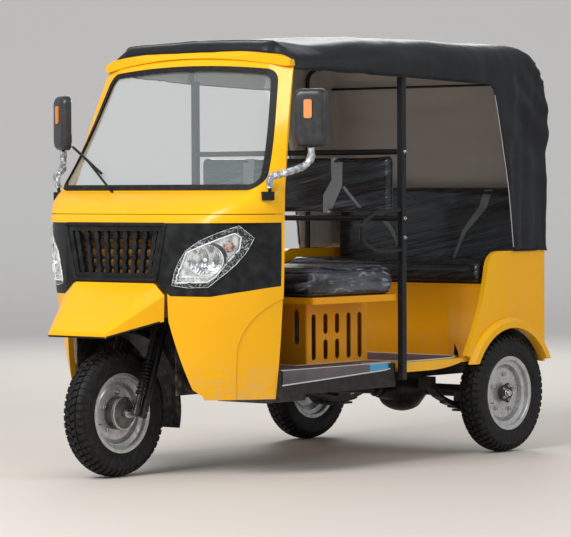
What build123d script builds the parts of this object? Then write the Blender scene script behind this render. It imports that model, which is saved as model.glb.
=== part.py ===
"""Passenger auto rickshaw: one steered front wheel, two driven rear wheels, a steel cab
front with a windscreen, an open driver's cab, a rear bench and a canvas hood.

Millimetres. +X is the vehicle's left, -Y is forward and +Z is up. The origin is on the
ground, midway between the front of the front tyre and the back of the tail lamps.
Heights are measured from the ground. Lengths are measured from the front axle with
fore() and from the rear axle with aft().
"""

import os
from math import atan2, cos, degrees, radians, sin, sqrt, tan

from build123d import *

os.makedirs("parts", exist_ok=True)

# ---------------------------------------------------------------- driving dimensions
WHEELBASE = 1942
TRACK = 1154  # between the rear wheels' centre planes
WHEEL_R = 267.5  # over the tread
TYRE_W = 110
RIM_R = 167  # over the flanges
RIM_W = 92
REAR_OVERHANG = 325.5  # rear axle to the back of the tail lamps

BODY_X = 622  # half width over the body sides
SHEET = 26  # cab front wall, folded edges included
CASTOR = 20  # rake of the steering axis, degrees
CASTOR_LEAD = 55  # steering axis behind the front axle, at axle height

FLOOR_Z = 440  # top of both floors
SKIRT_Z = 338  # lower edge of the driver's floor
RAIL = 50  # chassis rail section
RAIL_X = 330
RAIL_TOP = 398

WAIST_Z = 1060  # top of the fascia
SCREEN_Z = 1190  # foot of the windscreen frame
HOOD_Z = 1876  # highest point of the hood
HEADER_Z = HOOD_Z - 154  # drip edge of the roof header, at its ends
BODY_TOP = 912  # top edge of the rear body
BODY_FOOT = 412

LENGTH = WHEEL_R + WHEELBASE + REAR_OVERHANG
FRONT_Y = WHEEL_R - LENGTH / 2
REAR_Y = FRONT_Y + WHEELBASE
WHEEL_X = TRACK / 2


def fore(distance):
    """Y of a point this far behind the front axle."""
    return FRONT_Y + distance


def aft(distance):
    """Y of a point this far behind the rear axle."""
    return REAR_Y + distance


DOWN_Y = fore(507)  # the frame's down tube, behind the front wheel well
ENGINE_X, ENGINE_FRONT, ENGINE_BACK = 150, fore(800), fore(1085)
PARTITION_Y = fore(1183)  # plane of the B-pillars and the driver's backrest
TAIL_Y = aft(318)  # outside of the rear panel
HOOD_FRONT = fore(548)  # front hem of the hood, behind the roof header
PILLAR = 30  # square tube of the B-pillars
PILLAR_X = 600
TUBE = 25


def save(builder, label):
    """Names a finished piece and writes it."""
    builder.part.label = label
    export_step(builder.part, f"parts/{label}.step")


def bar(points, bend, diameter, bore=0):
    """A round bar or tube along straight runs joined by bends."""
    with BuildPart() as made:
        with BuildLine() as path:
            if len(points) > 2:
                FilletPolyline(*points, radius=bend)
            else:
                Line(*points)
        with BuildSketch(Plane(origin=path.line @ 0, z_dir=path.line % 0)):
            Circle(diameter / 2)
            if bore:
                Circle(bore / 2, mode=Mode.SUBTRACT)
        sweep()
    return made.part


def both_sides(part):
    """Adds a piece and its mirror image across the centre plane."""
    add(part)
    add(mirror(part, about=Plane.YZ, mode=Mode.PRIVATE))


# ---------------------------------------------------------------- cab front surfaces
# Plan sections of the cab front. Columns: height, centre of the nose (Y), its half
# width to the corner's start, the corner's start (Y), the rear edge (X, Y), and the
# depth of the corner's arc over its chord.
LOWER = (
    (326, fore(52), 290, fore(60), 560, fore(385), 12),
    (700, fore(14), 288, fore(18), 605, fore(376), 50),
    (WAIST_Z, fore(7), 287, fore(11), 620, fore(370), 62),
)
COWL = (
    (WAIST_Z, fore(24), 420, fore(84), 620, fore(372), 46),
    (1130, fore(88), 470, fore(146), 620, fore(373), 44),
    (SCREEN_Z, fore(208), 545, fore(256), 620, fore(375), 22),
)
SCREEN = (
    COWL[2],
    (1400, fore(305), 470, fore(352), 583, fore(432), 3),
    (HEADER_Z + 48, fore(492), 434, fore(528), 520, fore(560), 2),
)


def section(height, nose_y, corner_x, corner_y, side_x, side_y, corner_depth, inset=0):
    """One plan section of the cab front, closed well behind its rear edge."""
    back_y = side_y + 120
    with BuildSketch(Plane.XY.offset(height)) as made:
        with BuildLine():
            ThreePointArc((-corner_x, corner_y), (0, nose_y), (corner_x, corner_y))
            for s in (1, -1):
                mid_x, mid_y = (corner_x + side_x) / 2, (corner_y + side_y) / 2
                run_x, run_y = side_x - corner_x, side_y - corner_y
                chord = sqrt(run_x**2 + run_y**2)
                bulge_x = mid_x + corner_depth * run_y / chord
                bulge_y = mid_y - corner_depth * run_x / chord
                ThreePointArc((s * corner_x, corner_y), (s * bulge_x, bulge_y), (s * side_x, side_y))
                Line((s * side_x, side_y), (s * side_x, back_y))
            Line((side_x, back_y), (-side_x, back_y))
        make_face()
        if inset:
            offset(amount=-inset, kind=Kind.INTERSECTION, mode=Mode.REPLACE)
    return made.sketch


def rear_edge(sections):
    """The plane through the rear edges of the first and last sections, facing back."""
    low, high = sections[0], sections[-1]
    lean = Vector(0, high[5] - low[5], high[0] - low[0])
    return Plane(origin=(0, low[5], low[0]), z_dir=lean.cross(Vector(1, 0, 0)))


def block(sections, inset=0):
    """The solid form of the cab front, its faces this far inside the outer face."""
    with BuildPart() as made:
        for row in sections:
            add(section(*row, inset=inset))
        loft()
    return made.part


def skin(sections, outside, inside):
    """The cab front's wall between two offsets from its outer face, open behind."""
    with BuildPart() as made:
        add(block(sections, outside))
        add(block(sections, inside), mode=Mode.SUBTRACT)
        split(bisect_by=rear_edge(sections), keep=Keep.BOTTOM)
    return made.part


def front_cut(points, radius=0, depth=900):
    """A prism along Y over an outline in X and Z, for openings in the cab front."""
    with BuildPart() as made:
        with BuildSketch(Plane.XZ.offset(-fore(depth))):
            with BuildLine():
                if radius:
                    FilletPolyline(*points, radius=radius, close=True)
                else:
                    Polyline(*points, close=True)
            make_face()
        extrude(amount=depth + 400)
    return made.part


def mirrored(points):
    """Closes an outline given for +X with its mirror image."""
    return [*points, *[(-x, z) for x, z in reversed(points)]]


# Lower edge of the fascia on the vehicle's left, from the grille outwards (X, Z)
FASCIA_FOOT = ((236, 811), (300, 760), (440, 757), (545, 780), (660, 812))
BEAK_Z = FASCIA_FOOT[0][1]  # where the beak meets the fascia
# Headlamp outline on the vehicle's left, from its lower tip round over the top (X, Z)
LENS = ((322, 814), (366, 938), (520, 1016), (536, 1000), (530, 950), (458, 836), (432, 816))
GRILLE_HOLE = ((222, 838), (268, 1040))
SEAM = 0.6  # gap between panels that meet
EDGE = 14  # painted edge of the cab front behind the fascia


def lamp_outline(shrink=0):
    """A headlamp's outline as a prism along Y, smaller all round by this much."""
    with BuildPart() as made:
        with BuildSketch(Plane.XZ.offset(-fore(500))):
            with BuildLine():
                FilletPolyline(*LENS, radius=14, close=True)
            make_face()
            if shrink:
                offset(amount=-shrink, kind=Kind.INTERSECTION)
        extrude(amount=600)
    return made.part


with BuildPart() as fascia:
    add(skin(LOWER, 0, SHEET))
    split(bisect_by=rear_edge(LOWER).offset(-EDGE), keep=Keep.BOTTOM)
    below = [*FASCIA_FOOT, (800, 812), (800, 200)]
    add(front_cut(mirrored(below)), mode=Mode.SUBTRACT)
    add(front_cut(mirrored(GRILLE_HOLE), 12, 200), mode=Mode.SUBTRACT)
    with BuildPart(mode=Mode.PRIVATE) as lamp_holes:
        both_sides(lamp_outline())
    add(lamp_holes.part, mode=Mode.SUBTRACT)
save(fascia, "fascia")

PRESSED = 4  # depth of the pressing over each shield's outer rear part
WHEEL_GAP = ((288, 900), (288, 655), (345, 372), (372, 340), (372, 100))
with BuildPart() as leg_shields:
    add(skin(LOWER, 0, SHEET))
    with BuildPart(mode=Mode.PRIVATE) as fascia_room:
        above = [(x, z - SEAM) for x, z in FASCIA_FOOT]
        add(front_cut(mirrored([*above, (800, 811), (800, 1300)])))
        split(bisect_by=rear_edge(LOWER).offset(SEAM - EDGE), keep=Keep.BOTTOM)
    add(fascia_room.part, mode=Mode.SUBTRACT)
    add(front_cut(mirrored(WHEEL_GAP)), mode=Mode.SUBTRACT)
    with BuildPart(mode=Mode.PRIVATE) as pressing:
        with BuildSketch(Plane.XZ.offset(-fore(900))):
            with BuildLine():
                ThreePointArc((640, 775), (541, 655), (493, 535))
                Polyline((493, 535), (454, 300), (700, 300), (700, 775), (640, 775))
            make_face()
        extrude(amount=1300)
        add(block(LOWER, PRESSED), mode=Mode.SUBTRACT)
    for half in (pressing.part, mirror(pressing.part, about=Plane.YZ, mode=Mode.PRIVATE)):
        add(half, mode=Mode.SUBTRACT)
save(leg_shields, "leg_shields")

GROOVE_Z, GROOVE, GROOVE_DEPTH = 1095, 4, 5  # the seam across the cowl
with BuildPart() as cowl:
    add(skin(COWL, 0, SHEET))
    with BuildPart(mode=Mode.PRIVATE) as groove:
        with Locations((0, fore(200), GROOVE_Z)):
            Box(1400, 600, GROOVE)
        add(block(COWL, GROOVE_DEPTH), mode=Mode.SUBTRACT)
    add(groove.part, mode=Mode.SUBTRACT)
save(cowl, "cowl")

# ---------------------------------------------------------------- screen and header
# Screen opening: half widths at its foot and head, and their heights
OPENING = ((575, SCREEN_Z + 14), (466, HEADER_Z - 32))
OPENING_CROWN = 25
HEADER_CROWN = 35
FRAME_TOP = HEADER_Z - 8  # of the windscreen frame, at its ends
TOP_X = 500  # half width of the frame's arched top


def screen_outline(grow):
    """The screen opening as a prism along Y, grown all round by this much."""
    (foot_x, foot_z), (head_x, head_z) = OPENING
    foot_x, head_x = foot_x + grow, head_x + grow
    foot_z, head_z = foot_z - grow, head_z + grow
    with BuildPart() as made:
        with BuildSketch(Plane.XZ.offset(-fore(900))):
            with BuildLine():
                Polyline((-head_x, head_z), (-foot_x, foot_z), (foot_x, foot_z), (head_x, head_z))
                ThreePointArc((head_x, head_z), (0, head_z + OPENING_CROWN), (-head_x, head_z))
            make_face()
            fillet(vertices().group_by(Axis.Y)[0], 46 + grow)
            fillet(vertices().group_by(Axis.Y)[-1], 60 + grow)
        extrude(amount=1100)
    return made.part


with BuildPart() as windscreen_frame:
    add(skin(SCREEN, 0, SHEET))
    add(screen_outline(0), mode=Mode.SUBTRACT)
    with BuildPart(mode=Mode.PRIVATE) as under_header:
        with BuildSketch(Plane.XZ.offset(-fore(900))):
            with BuildLine():
                Line((-640, 1160), (640, 1160))
                Line((640, 1160), (640, FRAME_TOP - 8))
                Line((640, FRAME_TOP - 8), (TOP_X, FRAME_TOP))
                ThreePointArc((TOP_X, FRAME_TOP), (0, HEADER_Z + HEADER_CROWN), (-TOP_X, FRAME_TOP))
                Line((-TOP_X, FRAME_TOP), (-640, FRAME_TOP - 8))
                Line((-640, FRAME_TOP - 8), (-640, 1160))
            make_face()
        extrude(amount=1100)
    add(under_header.part, mode=Mode.INTERSECT)
save(windscreen_frame, "windscreen_frame")

GLASS_OUT, GLASS_IN = 7, 12  # glass faces behind the frame's outer face
GASKET_OUT, GASKET_IN = 9, 14  # how far the rubber laps the opening, outwards and inwards
FIT = 0.5  # glass and rubber inside the opening's edge

with BuildPart() as windscreen_glass:
    add(skin(SCREEN, GLASS_OUT, GLASS_IN))
    add(screen_outline(-FIT), mode=Mode.INTERSECT)
save(windscreen_glass, "windscreen_glass")

with BuildPart() as windscreen_gasket:
    add(skin(SCREEN, -4, -0.2))
    add(screen_outline(GASKET_OUT), mode=Mode.INTERSECT)
    with BuildPart(mode=Mode.PRIVATE) as lip:
        add(skin(SCREEN, -0.2, GLASS_OUT - 0.2))
        add(screen_outline(-FIT), mode=Mode.INTERSECT)
    add(lip.part)
    add(screen_outline(-GASKET_IN), mode=Mode.SUBTRACT)
save(windscreen_gasket, "windscreen_gasket")

HEADER_X = 528
HEADER_LIP = 24  # height of the header's front face at its ends
HEADER_FRONT = fore(474)  # of its drip edge, on the centre plane
with BuildPart() as roof_header:
    with BuildSketch(Plane.XZ.offset(-HEADER_FRONT)):
        with BuildLine():
            low, crown = FRAME_TOP, HEADER_Z + HEADER_CROWN
            ThreePointArc((-TOP_X, low), (0, crown), (TOP_X, low))
            Line((TOP_X, low), (HEADER_X + 4, low))
            Line((HEADER_X + 4, low), (HEADER_X, low + HEADER_LIP))
            ThreePointArc((HEADER_X, low + HEADER_LIP), (492, low + 42), (440, low + 52))
            ThreePointArc((440, low + 52), (0, crown + 34), (-440, low + 52))
            ThreePointArc((-440, low + 52), (-492, low + 42), (-HEADER_X, low + HEADER_LIP))
            Line((-HEADER_X, low + HEADER_LIP), (-HEADER_X - 4, low))
            Line((-HEADER_X - 4, low), (-TOP_X, low))
        make_face()
    extrude(amount=HEADER_FRONT - HOOD_FRONT)
    with BuildPart(mode=Mode.PRIVATE) as header_plan:
        with BuildSketch(Plane.XY.offset(low - 40)):
            with BuildLine():
                ThreePointArc((-560, fore(520)), (0, HEADER_FRONT), (560, fore(520)))
                Polyline((560, fore(520)), (560, HOOD_FRONT), (-560, HOOD_FRONT), (-560, fore(520)))
            make_face()
        extrude(amount=200)
    add(header_plan.part, mode=Mode.INTERSECT)
    with BuildPart(mode=Mode.PRIVATE) as slope:
        with BuildSketch(Plane.YZ.offset(-700)):
            Polygon(
                (fore(400), crown),
                (fore(400), crown + 100),
                (fore(560), crown + 100),
                (fore(482), crown),
                align=None,
            )
        extrude(amount=1400)
    add(slope.part, mode=Mode.SUBTRACT)
save(roof_header, "roof_header")

# ---------------------------------------------------------------- nose
# Sections of the beak across the vehicle. Columns: Y, then half width and height of
# its top edge, its shoulder and its lower edge.
BEAK = (
    (fore(2), (234, 806), (284, 762), (280, 655)),
    (fore(-226), (128, 616), (160, 606), (164, 592)),
)


def beak_form(inset):
    """The beak between its sections, or the hollow under it."""
    with BuildPart() as made:
        for y, top, shoulder, foot in BEAK:
            reach = 40 if inset and y == BEAK[0][0] else 0
            with BuildSketch(Plane.XZ.offset(-y - reach + (-inset if not reach else 0))):
                with BuildLine():
                    half = [
                        (top[0] - inset * 0.7, top[1] - inset),
                        (shoulder[0] - inset, shoulder[1] - inset * 0.8),
                        (foot[0] - inset, foot[1] - inset * 6),
                    ]
                    Polyline(*mirrored(half), close=True)
                make_face()
        loft(ruled=True)
    return made.part


BEAK_WALL = 10
with BuildPart() as beak:
    add(beak_form(0))
    add(beak_form(BEAK_WALL), mode=Mode.SUBTRACT)
    with Locations((0, fore(18), BEAK_Z)):
        Box(450, 32, 13, align=(Align.CENTER, Align.CENTER, Align.MAX))
save(beak, "beak")

GRILLE_FINS = 9
GRILLE_Y = fore(24)
with BuildPart() as grille:
    with BuildSketch(Plane.XZ.offset(-GRILLE_Y)):
        with BuildLine():
            Polyline(*mirrored([(221.5, 838.5), (267.5, 1039.5)]), close=True)
        make_face()
        fillet(vertices(), 12)
        with BuildLine():
            Polyline(*mirrored([(206, 852), (246, 1026)]), close=True)
        make_face(mode=Mode.SUBTRACT)
    extrude(amount=16)
    for i in range(GRILLE_FINS):
        place = (i - (GRILLE_FINS - 1) / 2) / ((GRILLE_FINS - 1) / 2)
        foot_x, head_x = place * 188, place * 226
        with BuildSketch(Plane.XZ.offset(-GRILLE_Y - 4)):
            with BuildLine():
                rows = 4
                right, left = [], []
                for k in range(2 * rows + 1):
                    along = k / (2 * rows)
                    middle = foot_x + (head_x - foot_x) * along
                    half = 13 if k % 2 else 8
                    right.append((middle + half, 848 + 182 * along))
                    left.append((middle - half, 848 + 182 * along))
                Polyline(*right, *reversed(left), close=True)
            make_face()
        extrude(amount=16)
save(grille, "grille")

WELL_X = 286  # inside half width of the front wheel well
WELL_Y = fore(455)
WELL_TOP = 668
with BuildPart() as wheel_well:
    with BuildSketch(Plane.XY.offset(SKIRT_Z + 8)):
        with Locations((0, (fore(70) + WELL_Y) / 2)):
            RectangleRounded(2 * WELL_X, WELL_Y - fore(70), 60)
        with Locations((0, fore(70) + 50)):
            Rectangle(2 * WELL_X, 100)
    extrude(amount=WELL_TOP - SKIRT_Z - 8)
    front_face = faces().sort_by(Axis.Y)[0]
    foot_face = faces().sort_by(Axis.Z)[0]
    offset(amount=-5, openings=[front_face, foot_face])
    stem_y = fore(CASTOR_LEAD + (WELL_TOP - WHEEL_R) * tan(radians(CASTOR)))
    with Locations((0, stem_y, WELL_TOP)):
        Cylinder(36, 40, mode=Mode.SUBTRACT)
save(wheel_well, "wheel_well")

BULKHEAD_Y = fore(74)  # its front, behind the grille
with BuildPart() as bulkhead:
    with BuildSketch(Plane.XZ.offset(-BULKHEAD_Y)):
        Polygon((-262, WELL_TOP), (262, WELL_TOP), (300, WAIST_Z - 6), (-300, WAIST_Z - 6), align=None)
    extrude(amount=-4)
    with BuildSketch(Plane.XZ.offset(-BULKHEAD_Y - 4)):
        for z in (WELL_TOP + 15, WAIST_Z - 26):
            with Locations((0, z)):
                Rectangle(480, 30)
    extrude(amount=-14)
save(bulkhead, "bulkhead")

DASH_TOP, DASH_H = SCREEN_Z - 0.5, 24
with BuildPart() as dashboard:
    add(block(COWL, SHEET + 0.3))
    with Locations((0, fore(180), DASH_TOP)):
        Box(1300, 360, DASH_H, align=(Align.CENTER, Align.CENTER, Align.MAX), mode=Mode.INTERSECT)
save(dashboard, "dashboard")

# ---------------------------------------------------------------- headlamps
LAMP_FIT = 0.4  # round the lamp, inside the fascia's hole
BOWL_R = 62
BOWL = Plane(origin=(452, fore(118), 905), z_dir=(0.62, -0.78, 0))  # the reflector's mouth

with BuildPart() as headlamp_lens:
    with BuildPart(mode=Mode.PRIVATE) as lens:
        add(skin(LOWER, -6, 0.7))
        add(lamp_outline(LAMP_FIT), mode=Mode.INTERSECT)
    both_sides(lens.part)
save(headlamp_lens, "headlamp_lens")

with BuildPart() as headlamp_housing:
    with BuildPart(mode=Mode.PRIVATE) as housing:
        add(skin(LOWER, 1, SHEET))
        add(lamp_outline(LAMP_FIT), mode=Mode.INTERSECT)
        with Locations(BOWL):
            Cylinder(BOWL_R, 60, mode=Mode.SUBTRACT)
    both_sides(housing.part)
save(headlamp_housing, "headlamp_housing")

# ---------------------------------------------------------------- driver's floor and seat
SIDE_X = 602  # half width over the floors
FLOOR_BACK = PARTITION_Y - PILLAR / 2 - 2
with BuildPart() as driver_floor:
    with BuildSketch(Plane.XY.offset(SKIRT_Z)):
        with Locations((0, (fore(330) + FLOOR_BACK) / 2)):
            Rectangle(2 * SIDE_X - 30, FLOOR_BACK - fore(330))
        fillet(vertices().group_by(Axis.Y)[-1], 24)
    extrude(amount=FLOOR_Z - SKIRT_Z)
    split(bisect_by=rear_edge(LOWER), keep=Keep.TOP)
    offset(amount=-5, openings=faces().sort_by(Axis.Z)[0])
    with BuildSketch(Plane.XY.offset(SKIRT_Z - 20)):
        with Locations((0, fore(300))):
            Rectangle(2 * WELL_X, 2 * (WELL_Y - fore(300)))
    extrude(amount=FLOOR_Z - SKIRT_Z + 40, mode=Mode.SUBTRACT)
    with BuildSketch(Plane.XY.offset(FLOOR_Z - 10)):
        with Locations((0, (fore(790) + fore(1100)) / 2)):
            RectangleRounded(2 * ENGINE_X + 30, fore(1100) - fore(790), 20)
        with Locations((0, DOWN_Y)):
            Circle(23)
    extrude(amount=20, mode=Mode.SUBTRACT)
    for s in (1, -1):
        with Locations((s * RAIL_X, FLOOR_BACK, RAIL_TOP - RAIL / 2)):
            Box(RAIL + 4, 60, RAIL + 4, mode=Mode.SUBTRACT)
save(driver_floor, "driver_floor")

BOX_X = 400
BOX_FRONT = fore(775)
BOX_BACK = fore(1196)
BOX_TOP = 712
BOX_WALL = 4
PLATE_X, PLATE_FRONT, PLATE_H = 590, fore(600), 28  # the seat plate on the box
PLATE_BACK = PARTITION_Y - PILLAR / 2 - 1
SLOT_FOOT, SLOT_HEAD, SLOT_W = 461, 659, 29
FRONT_SLOT_Z, FRONT_SLOT_H = 604, 150
# Side slots of the seat box from the front: distance behind its front face, split or not
SIDE_SLOTS = ((47, False), (127, True), (206, True), (285, False), (361, False))
with BuildPart() as seat_box:
    with BuildSketch(Plane.XY.offset(FLOOR_Z)):
        with Locations((0, (BOX_FRONT + BOX_BACK) / 2)):
            RectangleRounded(2 * BOX_X, BOX_BACK - BOX_FRONT, 10)
    extrude(amount=BOX_TOP - FLOOR_Z)
    offset(amount=-BOX_WALL, openings=faces().sort_by(Axis.Z)[0])
    with BuildSketch(Plane.YZ.offset(-BOX_X - 5)):
        middle = (SLOT_FOOT + SLOT_HEAD) / 2
        for along, is_split in SIDE_SLOTS:
            runs = [(SLOT_FOOT, SLOT_HEAD)]
            if is_split:
                runs = [(SLOT_FOOT, middle - 12), (middle + 12, SLOT_HEAD)]
            for low, high in runs:
                with Locations((BOX_FRONT + along, (low + high) / 2)):
                    SlotOverall(high - low, SLOT_W, rotation=90)
    extrude(amount=2 * BOX_X + 10, mode=Mode.SUBTRACT)
    with BuildSketch(Plane.XZ.offset(-BOX_FRONT - 10)):
        with Locations((0, FRONT_SLOT_Z)):
            with GridLocations(171.5, 1, 5, 1):
                SlotOverall(FRONT_SLOT_H, SLOT_W, rotation=90)
    extrude(amount=20, mode=Mode.SUBTRACT)
    with BuildSketch(Plane.XY.offset(BOX_TOP)):
        with Locations((0, (PLATE_FRONT + PLATE_BACK) / 2)):
            RectangleRounded(2 * PLATE_X, PLATE_BACK - PLATE_FRONT, 20)
    extrude(amount=PLATE_H)
save(seat_box, "seat_box")


def cushion(x_size, y_size, z_size, centre, crown=22):
    """A simple upholstered block with rounded edges."""
    with BuildPart() as made:
        with Locations(centre):
            Box(x_size, y_size, z_size)
        fillet(edges(), crown)
    return made.part


REST = 0.3  # soft seats over the plates that carry them
with BuildPart() as driver_seat:
    seat_h = 120
    seat_z = BOX_TOP + PLATE_H + REST + seat_h / 2
    add(cushion(2 * PLATE_X, 585, seat_h, (0, fore(872.5), seat_z), 34))
save(driver_seat, "driver_seat")

RAIL_LOW, RAIL_HIGH = 1068, 1357
with BuildPart() as partition_rails:
    for z in (RAIL_LOW, RAIL_HIGH):
        reach = PILLAR_X - PILLAR / 2
        add(bar([(-reach, PARTITION_Y, z), (reach, PARTITION_Y, z)], 0, TUBE))
save(partition_rails, "partition_rails")

with BuildPart() as driver_backrest:
    height = RAIL_HIGH - RAIL_LOW - TUBE - 2 * REST
    add(cushion(1120, 44, height, (0, PARTITION_Y, (RAIL_LOW + RAIL_HIGH) / 2), 14))
save(driver_backrest, "driver_backrest")

PILLAR_FOOT = 366
PILLAR_HEAD = HOOD_Z - 186
with BuildPart() as b_pillars:
    with BuildSketch(Plane.XY.offset(PILLAR_FOOT)):
        with Locations((PILLAR_X, PARTITION_Y), (-PILLAR_X, PARTITION_Y)):
            RectangleRounded(PILLAR, PILLAR, 4)
            Rectangle(PILLAR - 5, PILLAR - 5, mode=Mode.SUBTRACT)
    extrude(amount=PILLAR_HEAD - PILLAR_FOOT)
save(b_pillars, "b_pillars")

# Grab loop on the vehicle's left, from its upper end on the pillar (Y, Z)
LOOP = ((1167, 1104), (990, 1094), (907, 1048), (907, 968), (1000, 928), (1167, 930))
with BuildPart() as grab_loops:
    both_sides(bar([(PILLAR_X, fore(y), z) for y, z in LOOP], 34, 22))
save(grab_loops, "grab_loops")

# ---------------------------------------------------------------- rear body
WALL = 24
ARCH_R = 297
FLARE = 46
FLARE_OUT = 26
BENCH_Y = aft(-172)  # front of the bench
STEP_Y = aft(-309)  # front of the body side at floor level
SHOULDER_Y = aft(-119)  # top of the body side's curved front edge


def side_outline():
    """The body side: curved front edge, wheel arch and rear edge, in Y and Z."""
    with BuildSketch(Plane.YZ) as made:
        with BuildLine():
            Line((TAIL_Y, BODY_FOOT), (TAIL_Y, BODY_TOP))
            Line((TAIL_Y, BODY_TOP), (SHOULDER_Y + 36, BODY_TOP))
            ThreePointArc((SHOULDER_Y + 36, BODY_TOP), (SHOULDER_Y - 12, 893), (SHOULDER_Y - 44, 842))
            ThreePointArc((SHOULDER_Y - 44, 842), (SHOULDER_Y - 96, 660), (STEP_Y + 12, 500))
            Line((STEP_Y + 12, 500), (STEP_Y - 16, 452))
            Line((STEP_Y - 16, 452), (aft(-235), 424))
            Line((aft(-235), 424), (aft(-235), 400))
            Line((aft(-235), 400), (TAIL_Y, 400))
            Line((TAIL_Y, 400), (TAIL_Y, BODY_FOOT))
        make_face()
        with Locations((REAR_Y, WHEEL_R)):
            Circle(ARCH_R, mode=Mode.SUBTRACT)
    return made.sketch_local


with BuildPart() as rear_shell:
    with BuildSketch(Plane.XY.offset(400)):
        with Locations((0, (aft(-442) + TAIL_Y) / 2)):
            Rectangle(2 * BODY_X, TAIL_Y - aft(-442))
        fillet(vertices().group_by(Axis.Y)[-1], 60)
    extrude(amount=BODY_TOP - 400)
    with BuildSketch(Plane.XY.offset(390)):
        with Locations((0, (aft(-542) + TAIL_Y - WALL) / 2)):
            Rectangle(2 * (BODY_X - WALL), TAIL_Y - WALL - aft(-542))
        fillet(vertices().group_by(Axis.Y)[-1], 60 - WALL)
    extrude(amount=BODY_TOP, mode=Mode.SUBTRACT)
    with BuildPart(mode=Mode.PRIVATE) as side_form:
        with BuildSketch(Plane.YZ.offset(-700)):
            add(side_outline())
        extrude(amount=1400)
    add(side_form.part, mode=Mode.INTERSECT)

PANEL_X = 540  # seams between the rear panel and the sides
with BuildPart() as rear_panel:
    add(rear_shell.part)
    with Locations((0, TAIL_Y, 660)):
        Box(2 * PANEL_X - 1, 200, 800, mode=Mode.INTERSECT)
    plate_z = 560
    with Locations(Plane(origin=(0, TAIL_Y, plate_z), x_dir=(1, 0, 0), z_dir=(0, 1, 0))):
        with GridLocations(160, 1, 2, 1):
            Hole(4, WALL + 2)
save(rear_panel, "rear_panel")

with BuildPart() as rear_sides:
    add(rear_shell.part)
    with Locations((0, TAIL_Y, 660)):
        Box(2 * PANEL_X, 200, 800, mode=Mode.SUBTRACT)
    with BuildPart(mode=Mode.PRIVATE) as flare:
        with BuildSketch(Plane.YZ.offset(BODY_X)):
            with Locations((REAR_Y, WHEEL_R)):
                Circle(ARCH_R + FLARE)
                Circle(ARCH_R, mode=Mode.SUBTRACT)
            with Locations((REAR_Y, BODY_FOOT + 250)):
                Rectangle(900, 500, mode=Mode.INTERSECT)
        extrude(amount=FLARE_OUT)
        chamfer(edges().filter_by(GeomType.CIRCLE).group_by(Axis.X)[-1].sort_by(SortBy.RADIUS)[-1:], 18)
    both_sides(flare.part)
save(rear_sides, "rear_sides")

FLOOR_X = BODY_X - WALL
with BuildPart() as passenger_floor:
    with BuildSketch(Plane.YZ.offset(-FLOOR_X)):
        with BuildLine():
            floor_front = PARTITION_Y + PILLAR / 2 + 2
            curl_back = STEP_Y - 16
            curl_front = floor_front + 0.44 * (curl_back - floor_front)
            Line((floor_front, FLOOR_Z), (aft(-240), FLOOR_Z))
            Line((aft(-240), FLOOR_Z), (aft(-240), 424))
            Line((aft(-240), 424), (curl_back, 424))
            curl_middle = curl_back - 0.45 * (curl_back - curl_front)
            ThreePointArc((curl_back, 424), (curl_middle, 406), (curl_front, RAIL_TOP))
            Line((curl_front, RAIL_TOP), (floor_front, RAIL_TOP))
            Line((floor_front, RAIL_TOP), (floor_front, FLOOR_Z))
        make_face()
    extrude(amount=2 * FLOOR_X)
save(passenger_floor, "passenger_floor")

SEAT_Z = 766
BASE_X = 400  # where the bench front turns towards the body sides
# The body side's front edge: height, and distance from the rear axle
SIDE_EDGE = ((FLOOR_Z, aft(-318)), (500, aft(-297)), (560, aft(-262)), (660, aft(-215)), (753, aft(-184)))
PANEL = 6

TUB_X = 468  # inner wall of the wheel tubs
TUB_R = ARCH_R + 12
TUB_WALL = 4
TUB_FOOT = FLOOR_Z + TUB_WALL
with BuildPart() as wheel_tubs:
    with BuildPart(mode=Mode.PRIVATE) as tub:
        with BuildSketch(Plane.YZ.offset(TUB_X)):
            with Locations((REAR_Y, WHEEL_R)):
                Circle(TUB_R)
            with Locations((REAR_Y, TUB_FOOT)):
                Rectangle(900, 400, align=(Align.CENTER, Align.MIN), mode=Mode.INTERSECT)
        extrude(amount=FLOOR_X - TUB_X)
        with BuildSketch(Plane.YZ.offset(TUB_X + TUB_WALL)):
            with Locations((REAR_Y, WHEEL_R)):
                Circle(TUB_R - TUB_WALL)
        extrude(amount=200, mode=Mode.SUBTRACT)
        with BuildSketch(Plane.XY.offset(FLOOR_Z)):
            inner, outer = (BASE_X, BENCH_Y + 4 + PANEL), (FLOOR_X, SIDE_EDGE[0][1] + 14 + PANEL)
            Polygon(inner, outer, (FLOOR_X, aft(-542)), (BASE_X, aft(-542)), align=None)
        extrude(amount=300, mode=Mode.SUBTRACT)
    both_sides(tub.part)
save(wheel_tubs, "wheel_tubs")

with BuildPart() as seat_base:
    with Locations((0, BENCH_Y + 7, (FLOOR_Z + SEAT_Z - 12) / 2)):
        Box(2 * BASE_X, PANEL, SEAT_Z - 12 - FLOOR_Z)
    with BuildPart(mode=Mode.PRIVATE) as side_panel:
        for height, edge_y in SIDE_EDGE:
            with BuildSketch(Plane.XY.offset(height)):
                inner, outer = (BASE_X, BENCH_Y + 4), (FLOOR_X, edge_y + 14)
                back = [(x, y + PANEL) for x, y in (outer, inner)]
                Polygon(inner, outer, *back, align=None)
        loft(ruled=True)
    both_sides(side_panel.part)
    with BuildSketch(Plane.XY.offset(SEAT_Z - 13)):
        seat_edge = SIDE_EDGE[-1][1] + 14
        corner, back_y = FLOOR_X - 36, TAIL_Y - WALL
        half = [(BASE_X, BENCH_Y + 4), (FLOOR_X, seat_edge), (FLOOR_X, back_y - 36), (corner, back_y)]
        Polygon(*half, *[(-x, y) for x, y in reversed(half)], align=None)
    extrude(amount=13 - REST)
    for s in (1, -1):
        with Locations((s * (TUB_X + 99.7), REAR_Y, WHEEL_R)):
            Cylinder(TUB_R + REST, 200, rotation=(0, 90, 0), mode=Mode.SUBTRACT)
save(seat_base, "seat_base")

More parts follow.
